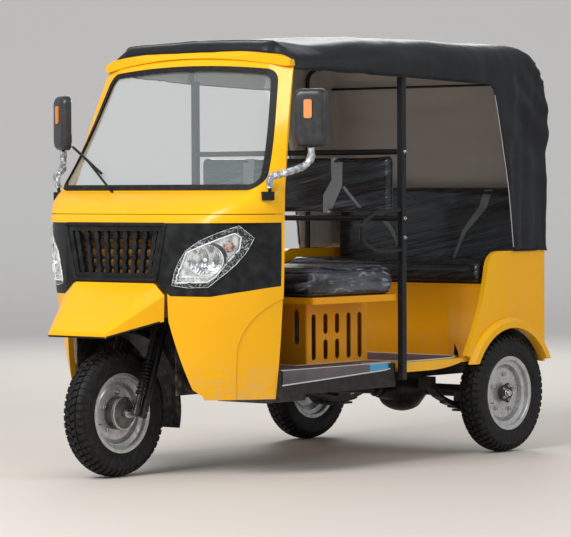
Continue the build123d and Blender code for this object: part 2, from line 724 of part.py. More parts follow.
with BuildPart() as bench_cushion:
    add(cushion(1160, 380, 102, (0, BENCH_Y + 190, SEAT_Z + 51), 30))
save(bench_cushion, "bench_cushion")

with BuildPart() as bench_backrest:
    with BuildSketch(Plane.YZ.offset(-562)):
        with BuildLine():
            Polyline(
                (BENCH_Y + 384, SEAT_Z),
                (TAIL_Y - WALL - REST, SEAT_Z),
                (TAIL_Y - WALL - 10, 1212),
                (TAIL_Y - WALL - 70, 1212),
                close=True,
            )
        make_face()
        fillet(vertices(), 12)
    extrude(amount=1124)
save(bench_backrest, "bench_backrest")

with BuildPart() as tail_lamps:
    with BuildSketch(Plane.XZ.offset(-TAIL_Y)):
        with Locations((535 - 20, 700), (-535 + 20, 700)):
            RectangleRounded(66, 180, 10)
    extrude(amount=-(LENGTH / 2 - TAIL_Y))
save(tail_lamps, "tail_lamps")

# ---------------------------------------------------------------- hood
HOOD_WALL = 8
HOOD_CORNER = 60  # round the rear corners, in plan
QUARTER_TOP = aft(-124)  # rear edge of the passenger doorway, top and foot
QUARTER_FOOT = aft(20)
SHOULDER_Z = HOOD_Z - 104
# Cross sections of the hood. Columns: Y, half width, crown height, shoulder height
HOOD = (
    (HOOD_FRONT, 534, HOOD_Z - 58, HOOD_Z - 148),
    (PARTITION_Y - 20, 626, HOOD_Z, SHOULDER_Z),
    (TAIL_Y + 10, 634, HOOD_Z - 6, SHOULDER_Z),
)


def hood_form(inset):
    """The hood's outer form, or the room inside it."""
    with BuildPart() as made:
        for y, half, crown, shoulder in HOOD:
            step = -30 if inset and y == HOOD_FRONT else 0
            with BuildSketch(Plane.XZ.offset(-y - step)):
                with BuildLine():
                    x, top, turn = half - inset, crown - inset, shoulder - inset
                    edge_x, edge_z = x - 104, turn + 78
                    ThreePointArc((-edge_x, edge_z), (0, top), (edge_x, edge_z))
                    ThreePointArc((edge_x, edge_z), (x - 34, turn + 46), (x, turn - 18))
                    Line((x, turn - 18), (x, BODY_TOP))
                    Line((x, BODY_TOP), (-x, BODY_TOP))
                    Line((-x, BODY_TOP), (-x, turn - 18))
                    ThreePointArc((-x, turn - 18), (-x + 34, turn + 46), (-edge_x, edge_z))
                make_face()
        loft(ruled=True)
        with BuildPart(mode=Mode.PRIVATE) as side_view:
            with BuildSketch(Plane.YZ.offset(-700)):
                with BuildLine():
                    back, foot = TAIL_Y + 4 - inset, BODY_TOP
                    Line((fore(400), foot), (back, foot))
                    turn = HOOD_Z - 316
                    Line((back, foot), (back - 14, turn))
                    shoulder = HOOD_Z - 38 - inset
                    ThreePointArc((back - 14, turn), (back - 62, turn + 170), (back - 190, shoulder))
                    Line((back - 190, shoulder), (back - 330, HOOD_Z + 30))
                    Line((back - 330, HOOD_Z + 30), (fore(400), HOOD_Z + 30))
                    Line((fore(400), HOOD_Z + 30), (fore(400), foot))
                make_face()
            extrude(amount=1400)
        add(side_view.part, mode=Mode.INTERSECT)
        with BuildPart(mode=Mode.PRIVATE) as plan:
            with BuildSketch(Plane.XY.offset(BODY_TOP)):
                front, back = fore(400), TAIL_Y + 4 - inset
                with Locations((0, (front + back) / 2)):
                    Rectangle(2 * (HOOD[-1][1] - inset), back - front)
                fillet(vertices().group_by(Axis.Y)[-1], HOOD_CORNER - inset)
            extrude(amount=HOOD_Z)
        add(plan.part, mode=Mode.INTERSECT)
    return made.part


with BuildPart() as hood:
    add(hood_form(0))
    add(hood_form(HOOD_WALL), mode=Mode.SUBTRACT)
    with BuildSketch(Plane.YZ.offset(-700)):
        with BuildLine():
            Line((fore(300), 800), (QUARTER_FOOT + 14, 800))
            Line((QUARTER_FOOT + 14, 800), (QUARTER_FOOT, 930))
            top = HOOD_Z - 236  # of the quarter's front edge
            ThreePointArc((QUARTER_FOOT, 930), (aft(-50), top - 300), (QUARTER_TOP, top))
            Line((QUARTER_TOP, top), (QUARTER_TOP - 30, top + 22))
            Line((QUARTER_TOP - 30, top + 22), (PARTITION_Y, top + 40))
            Line((PARTITION_Y, top + 40), (fore(440), top + 64))
            Line((fore(440), top + 64), (fore(300), top + 64))
            Line((fore(300), top + 64), (fore(300), 800))
        make_face()
    extrude(amount=1400, mode=Mode.SUBTRACT)
save(hood, "hood")

# Hoops and rails that carry the hood
BOW = 20
with BuildPart() as hood_bows:
    for y, half, crown, shoulder in (HOOD[1], (aft(60), 632, HOOD_Z - 4, SHOULDER_Z)):
        reach = half - HOOD_WALL - BOW / 2 - 3
        top = crown - HOOD_WALL - BOW / 2 - 4
        foot = PILLAR_HEAD if y == HOOD[1][0] else BODY_TOP
        half = [(reach, foot), (reach, shoulder - 30), (reach - 130, top - 42)]
        points = [*half, (0, top), *[(-x, z) for x, z in reversed(half)]]
        add(bar([(x, y, z) for x, z in points], 60, BOW))
save(hood_bows, "hood_bows")

# ---------------------------------------------------------------- chassis
AXIS = Vector(0, sin(radians(CASTOR)), cos(radians(CASTOR)))
HEAD = Plane(
    origin=(0, fore(CASTOR_LEAD), WHEEL_R),
    x_dir=(1, 0, 0),
    z_dir=AXIS,
)  # the steering axis, from axle height; local Y points back and down


def on_head(x, y, z):
    """A point given along the steering axis, in the vehicle's frame."""
    return HEAD.from_local_coords(Vector(x, y, z))


STEM_R = 15
GUARD_R = 333  # inside of the front mudguard
CROWN_LOW = GUARD_R + 15  # underside of the fork's crown, above the axle
HEAD_LOW, HEAD_HIGH = CROWN_LOW + 48, CROWN_LOW + 208
RAIL_BACK = aft(292)
CROSS_TUBES = (fore(560), fore(750), fore(1122))
with BuildPart() as chassis_frame:
    for s in (1, -1):
        with Locations((s * RAIL_X, (DOWN_Y - 20 + RAIL_BACK) / 2, RAIL_TOP - RAIL / 2)):
            Box(RAIL, RAIL_BACK - DOWN_Y + 20, RAIL)
    for y in (DOWN_Y, aft(-542), aft(-150), aft(270)):
        with Locations((0, y, RAIL_TOP - 25)):
            Box(2 * RAIL_X, 40, 42)
    with Locations((0, PARTITION_Y, RAIL_TOP - 17)):
        Box(2 * (PILLAR_X - PILLAR / 2) - 0.2, 34, 34)
    for y in CROSS_TUBES:
        with Locations((0, y, (RAIL_TOP + FLOOR_Z - 5) / 2)):
            Box(2 * 556, 36, FLOOR_Z - 5 - RAIL_TOP)
    add(bar([(0, fore(232), 712), (0, DOWN_Y, 712), (0, DOWN_Y, RAIL_TOP - 46)], 70, 44))
    for s in (1, -1):
        for y in (fore(840), fore(1030)):
            with Locations((s * 228, y, RAIL_TOP - 20)):
                Box(155, 40, 40)
    with Locations(HEAD * Location((0, 0, (HEAD_LOW + HEAD_HIGH) / 2))):
        Cylinder(25, HEAD_HIGH - HEAD_LOW)
    with Locations(HEAD * Location((0, 0, (HEAD_LOW + HEAD_HIGH) / 2))):
        Cylinder(STEM_R + 0.5, HEAD_HIGH - HEAD_LOW + 60, mode=Mode.SUBTRACT)
save(chassis_frame, "chassis_frame")

with BuildPart() as engine:
    with Locations((0, (ENGINE_FRONT + ENGINE_BACK) / 2, 440)):
        Box(2 * ENGINE_X, ENGINE_BACK - ENGINE_FRONT, 350)
    fillet(edges().filter_by(Axis.Z), 30)
save(engine, "engine")

DRUM_X = 436  # outer face of the rear brake backplates
STUB_R = 15
DIFF_R = 108
CONE_X, TUBE_R = 140, 28  # where the casing narrows to the axle tubes
SPRING_X = 372
LEAF, LEAF_W = 7, 50
SPRING_HALF, SPRING_DIP = 288, 100
SPRING_Z = 214  # top of the main leaf at the axle
spring_r = (SPRING_HALF**2 + SPRING_DIP**2) / (2 * SPRING_DIP)
with BuildPart() as rear_axle:
    with BuildSketch(Plane(origin=(0, REAR_Y, WHEEL_R), x_dir=(1, 0, 0), z_dir=(0, -1, 0))):
        with BuildLine():
            half = [(CONE_X, TUBE_R), (DRUM_X - 8, TUBE_R), (DRUM_X - 8, 102), (DRUM_X, 102), (DRUM_X, 0)]
            ThreePointArc((-70, 92), (0, DIFF_R), (70, 92))
            Polyline((70, 92), *half, *[(-x, r) for x, r in reversed(half)], (-70, 92))
        make_face()
    revolve(axis=Axis((0, REAR_Y, WHEEL_R), (1, 0, 0)))
    with Locations(Plane(origin=(0, REAR_Y - 60, WHEEL_R), z_dir=(0, -1, 0))):
        Cone(62, 38, 110, align=(Align.CENTER, Align.CENTER, Align.MIN))
    for s in (1, -1):
        with Locations((s * (DRUM_X + 70), REAR_Y, WHEEL_R)):
            Cylinder(STUB_R, 150, rotation=(0, 90, 0))
        with BuildPart(mode=Mode.PRIVATE) as pad:
            with Locations((s * SPRING_X, REAR_Y, (SPRING_Z + WHEEL_R) / 2)):
                Box(LEAF_W + 14, 92, WHEEL_R - SPRING_Z)
            with Locations((s * SPRING_X, REAR_Y, SPRING_Z + spring_r)):
                Cylinder(spring_r, LEAF_W + 20, rotation=(0, 90, 0), mode=Mode.INTERSECT)
        add(pad.part)
save(rear_axle, "rear_axle")

SHAFT_Z = 318
with BuildPart() as propeller_shaft:
    nose_y = REAR_Y - 170
    add(bar([(0, ENGINE_BACK + 16, SHAFT_Z), (0, nose_y - 16, WHEEL_R)], 0, 38))
    for y, z in ((ENGINE_BACK + 16, SHAFT_Z), (nose_y - 16, WHEEL_R)):
        with Locations((0, y, z)):
            Cylinder(30, 32, rotation=(90, 0, 0))
save(propeller_shaft, "propeller_shaft")

with BuildPart() as leaf_springs:
    with BuildPart(mode=Mode.PRIVATE) as spring:
        with BuildSketch(Plane.YZ.offset(SPRING_X - LEAF_W / 2)):
            for k, share in enumerate((1, 0.78, 0.56, 0.36)):
                high = spring_r + k * LEAF
                half = SPRING_HALF * share
                with BuildLine(mode=Mode.PRIVATE) as edge:
                    centre_z = SPRING_Z + spring_r
                    drop = sqrt(high**2 - half**2)
                    low_drop = sqrt((high + LEAF) ** 2 - half**2)
                    ends = (REAR_Y - half, centre_z - drop), (REAR_Y + half, centre_z - drop)
                    ThreePointArc(ends[0], (REAR_Y, centre_z - high), ends[1])
                    Line((REAR_Y + half, centre_z - drop), (REAR_Y + half, centre_z - low_drop))
                    ThreePointArc(
                        (REAR_Y + half, centre_z - low_drop),
                        (REAR_Y, centre_z - high - LEAF),
                        (REAR_Y - half, centre_z - low_drop),
                    )
                    Line((REAR_Y - half, centre_z - low_drop), (REAR_Y - half, centre_z - drop))
                make_face(edge.edges())
            with Locations(*((REAR_Y + s * SPRING_HALF, SPRING_Z + SPRING_DIP - 2) for s in (1, -1))):
                Circle(15)
        extrude(amount=LEAF_W)
        with Locations((SPRING_X, REAR_Y, SPRING_Z - 4 * LEAF - 5)):
            Box(LEAF_W + 24, 104, 10)
        for s in (1, -1):
            eye_z = SPRING_Z + SPRING_DIP - 2
            with Locations((SPRING_X + 2, REAR_Y + s * SPRING_HALF, (eye_z - 18 + RAIL_TOP - RAIL) / 2)):
                Box(LEAF_W + 22, 34, RAIL_TOP - RAIL - eye_z + 18)
    both_sides(spring.part)
save(leaf_springs, "leaf_springs")

with BuildPart() as exhaust:
    port, elbow = [(-110, ENGINE_BACK + y, 300) for y in (0, 60)]
    add(bar([port, elbow, (-225, fore(1225), 300), (-225, fore(1260), 300)], 30, 34))
    with Locations((-225, fore(1440), 300)):
        Cylinder(46, 380, rotation=(90, 0, 0))
    add(bar([(-225, fore(1620), 300), (-225, fore(1700), 300)], 0, 30))
save(exhaust, "exhaust")

# ---------------------------------------------------------------- steering
LEG_X, LEG_Y, LEG_R = 100, 14, 17
AXLE_R = 8.5
PIVOT = on_head(0, LEG_Y, 4)
SHOCK_Y = -31
SHOCK_LOW = -20
with BuildPart() as fork:
    with BuildSketch(Plane(origin=on_head(0, 0, CROWN_LOW), x_dir=(1, 0, 0), z_dir=AXIS)):
        with Locations((0, -6)):
            RectangleRounded(2 * LEG_X + 46, 74, 18)
    extrude(amount=18)
    with Locations(HEAD * Location((0, 0, (CROWN_LOW + 840) / 2))):
        Cylinder(STEM_R, 840 - CROWN_LOW)
    with Locations(HEAD * Location((0, 0, (CROWN_LOW + HEAD_LOW) / 2 + 2))):
        Cylinder(22, HEAD_LOW - CROWN_LOW - 5)
    for s in (1, -1):
        with Locations(HEAD * Location((s * LEG_X, LEG_Y, (CROWN_LOW - 16) / 2))):
            Cylinder(LEG_R, CROWN_LOW + 16)
        with Locations(Location(PIVOT) * Location((s * LEG_X, 0, 0), (0, 90, 0))):
            Cylinder(7.1, 60, mode=Mode.SUBTRACT)
save(fork, "fork")

LINK_X = 66
with BuildPart() as front_links:
    lean = degrees(atan2(PIVOT.Z - WHEEL_R, PIVOT.Y - FRONT_Y))
    reach = sqrt((PIVOT.Z - WHEEL_R) ** 2 + (PIVOT.Y - FRONT_Y) ** 2)
    for s in (1, -1):
        with BuildSketch(Plane.YZ.offset(s * LINK_X)):
            with Locations(((PIVOT.Y + FRONT_Y) / 2, (PIVOT.Z + WHEEL_R) / 2)):
                SlotCenterToCenter(reach, 34, rotation=lean)
        extrude(amount=s * 10)
        with Locations(Location(PIVOT) * Location((s * (LINK_X + 32), 0, 0), (0, 90, 0))):
            Cylinder(7, 64)
    with Locations((0, FRONT_Y, WHEEL_R)):
        Cylinder(AXLE_R, 2 * LINK_X + 46, rotation=(0, 90, 0))
save(front_links, "front_links")

# Shock absorber outline along its axis: radius and distance from its lower eye
with BuildPart() as shock_absorbers:
    for s in (1, -1):
        foot = on_head(s * LEG_X, SHOCK_Y, 0)
        with BuildSketch(Plane(origin=foot, x_dir=(1, 0, 0), z_dir=(0, -AXIS.Z, AXIS.Y))):
            with BuildLine():
                turns = 9
                coil = [(0, SHOCK_LOW), (15, SHOCK_LOW), (15, 70), (20, 74)]
                for k in range(turns):
                    coil += [(21, 80 + 15 * k), (21, 87 + 15 * k), (16, 90 + 15 * k), (16, 92 + 15 * k)]
                coil += [(20, 220), (20, 228), (13, 232), (13, CROWN_LOW - 0.2), (0, CROWN_LOW - 0.2)]
                Polyline(*coil, close=True)
            make_face()
        revolve(axis=Axis(on_head(s * LEG_X, SHOCK_Y, 0), AXIS))
save(shock_absorbers, "shock_absorbers")

GUARD_X = 70
with BuildPart() as front_mudguard:
    with BuildSketch(Plane.YZ.offset(-GUARD_X)):
        with BuildLine():
            CenterArc((FRONT_Y, WHEEL_R), GUARD_R, -14, 112)
            CenterArc((FRONT_Y, WHEEL_R), GUARD_R + 4, -14, 112)
            for a in (-14, 98):
                Line(
                    (FRONT_Y + GUARD_R * cos(radians(a)), WHEEL_R + GUARD_R * sin(radians(a))),
                    (FRONT_Y + (GUARD_R + 4) * cos(radians(a)), WHEEL_R + (GUARD_R + 4) * sin(radians(a))),
                )
        make_face()
    extrude(amount=2 * GUARD_X)
    with BuildSketch(Plane(origin=on_head(0, 0, CROWN_LOW), x_dir=(1, 0, 0), z_dir=AXIS)):
        with Locations((0, 10)):
            Rectangle(60, 30)
    extrude(amount=-34)
save(front_mudguard, "front_mudguard")

BAR_Z = 812
with BuildPart() as handlebar:
    clamp = on_head(0, 0, BAR_Z)
    half = [(60, clamp.Y, clamp.Z + 24), (150, clamp.Y + 50, 1062), (350, clamp.Y + 78, 1070)]
    points = [(-x, y, z) for x, y, z in reversed(half)] + half
    add(bar(points, 36, 22))
    with Locations(HEAD * Location((0, 0, BAR_Z + 17))):
        Box(70, 44, 50)
    with Locations(HEAD * Location((0, 0, BAR_Z + 10))):
        Cylinder(STEM_R, 40, mode=Mode.SUBTRACT)
save(handlebar, "handlebar")

with BuildPart() as grips:
    with BuildPart(mode=Mode.PRIVATE) as grip:
        inner, outer = Vector(*half[1]), Vector(*half[2])
        along = (outer - inner).normalized()
        with Locations(Plane(origin=outer - along * 122, z_dir=along)):
            Cylinder(17, 124, align=(Align.CENTER, Align.CENTER, Align.MIN))
            Cylinder(11, 122, align=(Align.CENTER, Align.CENTER, Align.MIN), mode=Mode.SUBTRACT)
    both_sides(grip.part)
save(grips, "grips")

# ---------------------------------------------------------------- wheels
# Tyre section on one side of its centre plane: (distance from the plane, radius)
TREAD_X = TYRE_W / 2 - 9


def tyre(centre, label):
    """A tyre, from its beads round its sidewalls to its crowned tread."""
    with BuildPart() as made:
        with BuildSketch(Plane(origin=centre, x_dir=(1, 0, 0), z_dir=(0, -1, 0))):
            with BuildLine():
                bead, wall = RIM_R - 11, (RIM_R + WHEEL_R) / 2 - 8
                ThreePointArc((-TREAD_X, WHEEL_R - 10), (0, WHEEL_R), (TREAD_X, WHEEL_R - 10))
                for s in (1, -1):
                    Line((s * TREAD_X, WHEEL_R - 10), (s * (TYRE_W / 2 - 3), WHEEL_R - 26))
                    ThreePointArc(
                        (s * (TYRE_W / 2 - 3), WHEEL_R - 26),
                        (s * TYRE_W / 2, wall + 8),
                        (s * (RIM_W / 2 - 5), RIM_R + 1),
                    )
                    Line((s * (RIM_W / 2 - 5), RIM_R + 1), (s * (RIM_W / 2 - 5), bead))
                Line((RIM_W / 2 - 5, bead), (-RIM_W / 2 + 5, bead))
            make_face()
        revolve(axis=Axis(centre, (1, 0, 0)))
    save(made, label)


def rim(centre, disc_x, hole_r, label):
    """A pressed steel rim with flanges, stepped barrel and a dished disc."""
    with BuildPart() as made:
        side = 1 if disc_x >= 0 else -1
        with BuildSketch(Plane(origin=centre, x_dir=(1, 0, 0), z_dir=(0, -1, 0))):
            half, t = RIM_W / 2, 3.5
            seat, well = RIM_R - 14, RIM_R - 34
            lip, shelf, wall = half - 4.6, half - 20, half - 27
            outside = [(half, RIM_R), (lip, RIM_R), (lip, seat + 1), (shelf, seat), (wall, well)]
            inside = [(wall + 3 - t, well - t), (shelf - t, seat - t), (half - 3, seat - t), (half, seat)]
            left = [(-x, r) for x, r in outside]
            left_in = [(-x, r) for x, r in inside]
            Polygon(*outside, *reversed(left), *reversed(left_in), *inside, align=None)
        revolve(axis=Axis(centre, (1, 0, 0)))
        with BuildSketch(Plane(origin=centre, x_dir=(1, 0, 0), z_dir=(0, -1, 0))):
            x = disc_x
            dish = [(x - side * 12, well - 1), (x, well - 22), (x, hole_r), (x - side * 4, hole_r)]
            dish += [(x - side * 4, well - 24), (x - side * 18, well - 1)]
            Polygon(*dish, align=None)
        revolve(axis=Axis(centre, (1, 0, 0)))
    save(made, label)


HUB_R, HUB_BORE = 26, 0.06
FRONT_DISC_X, REAR_DISC_X = 8, 6  # outer face of the rims' discs, from the centre plane
wheel_rows = (
    ("front", Vector(0, FRONT_Y, WHEEL_R), FRONT_DISC_X),
    ("rear_left", Vector(WHEEL_X, REAR_Y, WHEEL_R), REAR_DISC_X),
    ("rear_right", Vector(-WHEEL_X, REAR_Y, WHEEL_R), -REAR_DISC_X),
)
for name, centre, disc_x in wheel_rows:
    tyre(centre, f"{name}_tyre")
    rim(centre, disc_x, HUB_R + 6, f"{name}_rim")

FRONT_DRUM_R, FRONT_DRUM_FACE = 69, 58  # the ribbed drum outboard of the front rim's disc
BRAKE_R, BRAKE_W = 86, 46  # the brake on its other side
DISC_FIT = 0.2  # between a hub and the rim's disc
with BuildPart() as front_hub:
    with Locations((0, FRONT_Y, WHEEL_R)):
        Cylinder(HUB_R + 5.9, 2 * FRONT_DRUM_FACE, rotation=(0, 90, 0))
    with Locations((-1 - BRAKE_W / 2, FRONT_Y, WHEEL_R)):
        Cylinder(BRAKE_R, BRAKE_W, rotation=(0, 90, 0))
    drum_foot = FRONT_DISC_X + DISC_FIT
    with Locations(((drum_foot + FRONT_DRUM_FACE) / 2, FRONT_Y, WHEEL_R)):
        Cylinder(FRONT_DRUM_R, FRONT_DRUM_FACE - drum_foot, rotation=(0, 90, 0))
    with Locations((0, FRONT_Y, WHEEL_R)):
        Cylinder(AXLE_R + HUB_BORE, 400, rotation=(0, 90, 0), mode=Mode.SUBTRACT)
save(front_hub, "front_hub")

DRUM_R, DRUM_W, FLANGE_R = 98, 60, 70
HUB_OUT = 26  # of the hub's boss beyond the wheel's centre plane
for side, s in (("left", 1), ("right", -1)):
    with BuildPart() as hub:
        drum_in, drum_out = DRUM_X + 4, DRUM_X + 4 + DRUM_W
        flange_out = WHEEL_X + REAR_DISC_X - 4 - DISC_FIT / 2
        for low, high, radius in (
            (drum_in, drum_out, DRUM_R),
            (drum_out, flange_out, FLANGE_R),
            (flange_out, WHEEL_X + HUB_OUT, HUB_R + 5.9),
        ):
            with Locations((s * (low + high) / 2, REAR_Y, WHEEL_R)):
                Cylinder(radius, high - low, rotation=(0, 90, 0))
        with Locations((s * (WHEEL_X - 66), REAR_Y, WHEEL_R)):
            Cylinder(STUB_R + HUB_BORE, 162, rotation=(0, 90, 0), mode=Mode.SUBTRACT)
    save(hub, f"rear_{side}_hub")

# ---------------------------------------------------------------- mirrors and wiper
MIRROR = Vector(715, fore(428), 1492)
MIRROR_TOE = 27
MIRROR_W, MIRROR_H, MIRROR_D = 146, 242, 46
TOE = radians(MIRROR_TOE)
FACE = Plane(origin=MIRROR, x_dir=(cos(TOE), sin(TOE), 0), z_dir=(sin(TOE), -cos(TOE), 0))
with BuildPart() as mirror_shells:
    with BuildPart(mode=Mode.PRIVATE) as mirror_shell:
        with BuildSketch(FACE.offset(-MIRROR_D / 2)):
            RectangleRounded(MIRROR_W, MIRROR_H, 30)
        extrude(amount=MIRROR_D, taper=6)
        with BuildSketch(FACE.offset(-MIRROR_D / 2)):
            RectangleRounded(MIRROR_W - 10, MIRROR_H - 10, 26)
        extrude(amount=4, mode=Mode.SUBTRACT)
    both_sides(mirror_shell.part)
save(mirror_shells, "mirror_shells")

# Arm on the vehicle's left, from its bracket to the mirror (X, Y, Z)
ARM = (
    (604, fore(296), 1176),
    (612, fore(290), 1240),
    (652, fore(332), 1260),
    (692, fore(401), 1288),
    (713, fore(432), 1322),
    (713, fore(432), 1378),
)
with BuildPart() as mirror_arms:
    with BuildPart(mode=Mode.PRIVATE) as arm:
        add(bar(ARM, 22, 14))
        with Locations(Location((598, fore(288), 1170), (0, 0, 52))):
            Box(52, 44, 36)
        add(block(COWL), mode=Mode.SUBTRACT)
        add(block(SCREEN), mode=Mode.SUBTRACT)
        add(mirror_shell.part, mode=Mode.SUBTRACT)
        arm_pieces = solids().sort_by(SortBy.VOLUME)
        for piece in arm_pieces[:-1]:
            add(piece, mode=Mode.SUBTRACT)
    both_sides(arm.part)
save(mirror_arms, "mirror_arms")

with BuildPart() as mirror_glasses:
    with BuildPart(mode=Mode.PRIVATE) as mirror_glass:
        with BuildSketch(FACE.offset(-MIRROR_D / 2 + 1)):
            RectangleRounded(MIRROR_W - 10.4, MIRROR_H - 10.4, 26)
        extrude(amount=3)
    both_sides(mirror_glass.part)
save(mirror_glasses, "mirror_glasses")

with BuildPart() as side_repeaters:
    with BuildPart(mode=Mode.PRIVATE) as repeater:
        with BuildSketch(FACE.offset(MIRROR_D / 2)):
            with Locations((-6, 36)):
                RectangleRounded(34, 78, 9)
        extrude(amount=6)
    both_sides(repeater.part)
save(side_repeaters, "side_repeaters")

# Wiper on the vehicle's right, from its spindle to the blade's ends (X, Y, Z)
SPINDLE = Vector(-176, fore(196), 1172)
BLADE = (Vector(-300, fore(243), 1268), Vector(-545, fore(322), 1384))
with BuildPart() as wiper:
    elbow = (BLADE[0] + BLADE[1]) / 2
    add(bar([tuple(SPINDLE), tuple(elbow)], 0, 10))
    add(bar([tuple(BLADE[0]), tuple(BLADE[1])], 0, 12))
    with Locations(Plane(origin=SPINDLE, z_dir=(0, -0.7, 0.7))):
        Cylinder(13, 30)
    for neighbour in (cowl, windscreen_gasket, windscreen_glass):
        add(neighbour.part, mode=Mode.SUBTRACT)
    pieces = solids().sort_by(SortBy.VOLUME)
    for piece in pieces[:-1]:
        add(piece, mode=Mode.SUBTRACT)
save(wiper, "wiper")
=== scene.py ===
import math

import bmesh
import bpy
from mathutils import Matrix, Vector, noise
from mathutils.bvhtree import BVHTree


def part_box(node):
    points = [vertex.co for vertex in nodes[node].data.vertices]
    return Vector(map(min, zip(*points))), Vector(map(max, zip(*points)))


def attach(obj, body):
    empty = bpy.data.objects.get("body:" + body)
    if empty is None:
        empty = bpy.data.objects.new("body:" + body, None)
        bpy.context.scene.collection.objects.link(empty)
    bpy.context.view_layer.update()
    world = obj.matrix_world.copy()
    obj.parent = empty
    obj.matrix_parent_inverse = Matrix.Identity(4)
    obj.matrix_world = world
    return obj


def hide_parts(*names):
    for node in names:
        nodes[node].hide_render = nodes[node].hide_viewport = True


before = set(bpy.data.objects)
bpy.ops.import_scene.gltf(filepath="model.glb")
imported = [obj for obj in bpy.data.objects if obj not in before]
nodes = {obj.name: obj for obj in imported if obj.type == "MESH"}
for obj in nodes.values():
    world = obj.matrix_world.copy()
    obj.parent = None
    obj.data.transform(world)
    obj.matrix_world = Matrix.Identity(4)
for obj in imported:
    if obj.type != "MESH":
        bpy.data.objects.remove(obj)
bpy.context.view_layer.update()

# ---------------------------------------------------------------- camera
# Stands well off the vehicle's front left corner at chest height, and looks a little down through
# a long lens
HEADING, PITCH, ROLL = math.radians(40.22), math.radians(-1.588), math.radians(-0.256)
STAND = (8.614, -10.077, 1.213)
ahead = Vector((-math.sin(HEADING) * math.cos(PITCH), math.cos(HEADING) * math.cos(PITCH), math.sin(PITCH)))
level = Vector((math.cos(HEADING), math.sin(HEADING), 0))
upright = level.cross(ahead)
right = level * math.cos(ROLL) + upright * math.sin(ROLL)
up = upright * math.cos(ROLL) - level * math.sin(ROLL)
lens = bpy.data.cameras.new("camera")
lens.lens, lens.sensor_width, lens.clip_end = 189.0, 36.0, 200.0
camera = bpy.data.objects.new("camera", lens)
camera.matrix_world = Matrix.Translation(STAND) @ Matrix((right, up, -ahead)).transposed().to_4x4()
bpy.context.scene.collection.objects.link(camera)
bpy.context.scene.camera = camera

# ---------------------------------------------------------------- floor and light
# A pale floor that turns up into a pale wall, a broad soft key light from the front and above,
# weaker lights from the side and from behind, and an even sky
for name, place, size, power, target in (
    ("key", (0.5, -7.5, 6.5), 4.0, 760, (0, -0.4, 0.9)),
    ("side", (8.0, 1.0, 4.5), 5.0, 170, (0, 0.3, 0.9)),
    ("back", (-5.0, 6.5, 5.5), 4.0, 240, (0, 0.3, 1.2)),
):
    light = bpy.data.lights.new(name, "AREA")
    light.size, light.energy = size, power
    lamp = bpy.data.objects.new(name, light)
    lamp.location = place
    lamp.rotation_euler = (Vector(target) - Vector(place)).to_track_quat("-Z", "Y").to_euler()
    bpy.context.scene.collection.objects.link(lamp)


def joined(shape, rows, closed=False):
    """Adds faces between each row of corners and the next, and round each row if it is closed."""
    for row, after in zip(rows, rows[1:]):
        for i in range(len(row) if closed else len(row) - 1):
            j = (i + 1) % len(row)
            shape.faces.new((row[i], row[j], after[j], after[i]))


sky = bpy.data.worlds.new("sky")
bpy.context.scene.world = sky
sky.use_nodes = True
sky.node_tree.nodes["Background"].inputs["Color"].default_value = (0.86, 0.93, 1.0, 1)
sky.node_tree.nodes["Background"].inputs["Strength"].default_value = 0.55
bpy.context.scene.view_settings.view_transform = "Standard"

FLOOR_HALF, WALL_Y, WALL_HIGH, CURVE = 26.0, 24.0, 18.0, 3
to_camera = Matrix.Rotation(HEADING, 4, "Z")
profile = [(-FLOOR_HALF, 0.0)]
for k in range(13):
    a = k * math.pi / 24
    profile.append((WALL_Y - CURVE + CURVE * math.sin(a), CURVE - CURVE * math.cos(a)))
profile.append((WALL_Y, WALL_HIGH))
sweep = bmesh.new()
joined(
    sweep,
    [[sweep.verts.new(to_camera @ Vector((x, y, z))) for x in (-FLOOR_HALF, FLOOR_HALF)] for y, z in profile],
)
floor_mesh = bpy.data.meshes.new("floor")
sweep.to_mesh(floor_mesh)
floor_mesh.shade_smooth()
floor = bpy.data.objects.new("floor", floor_mesh)
bpy.context.scene.collection.objects.link(floor)


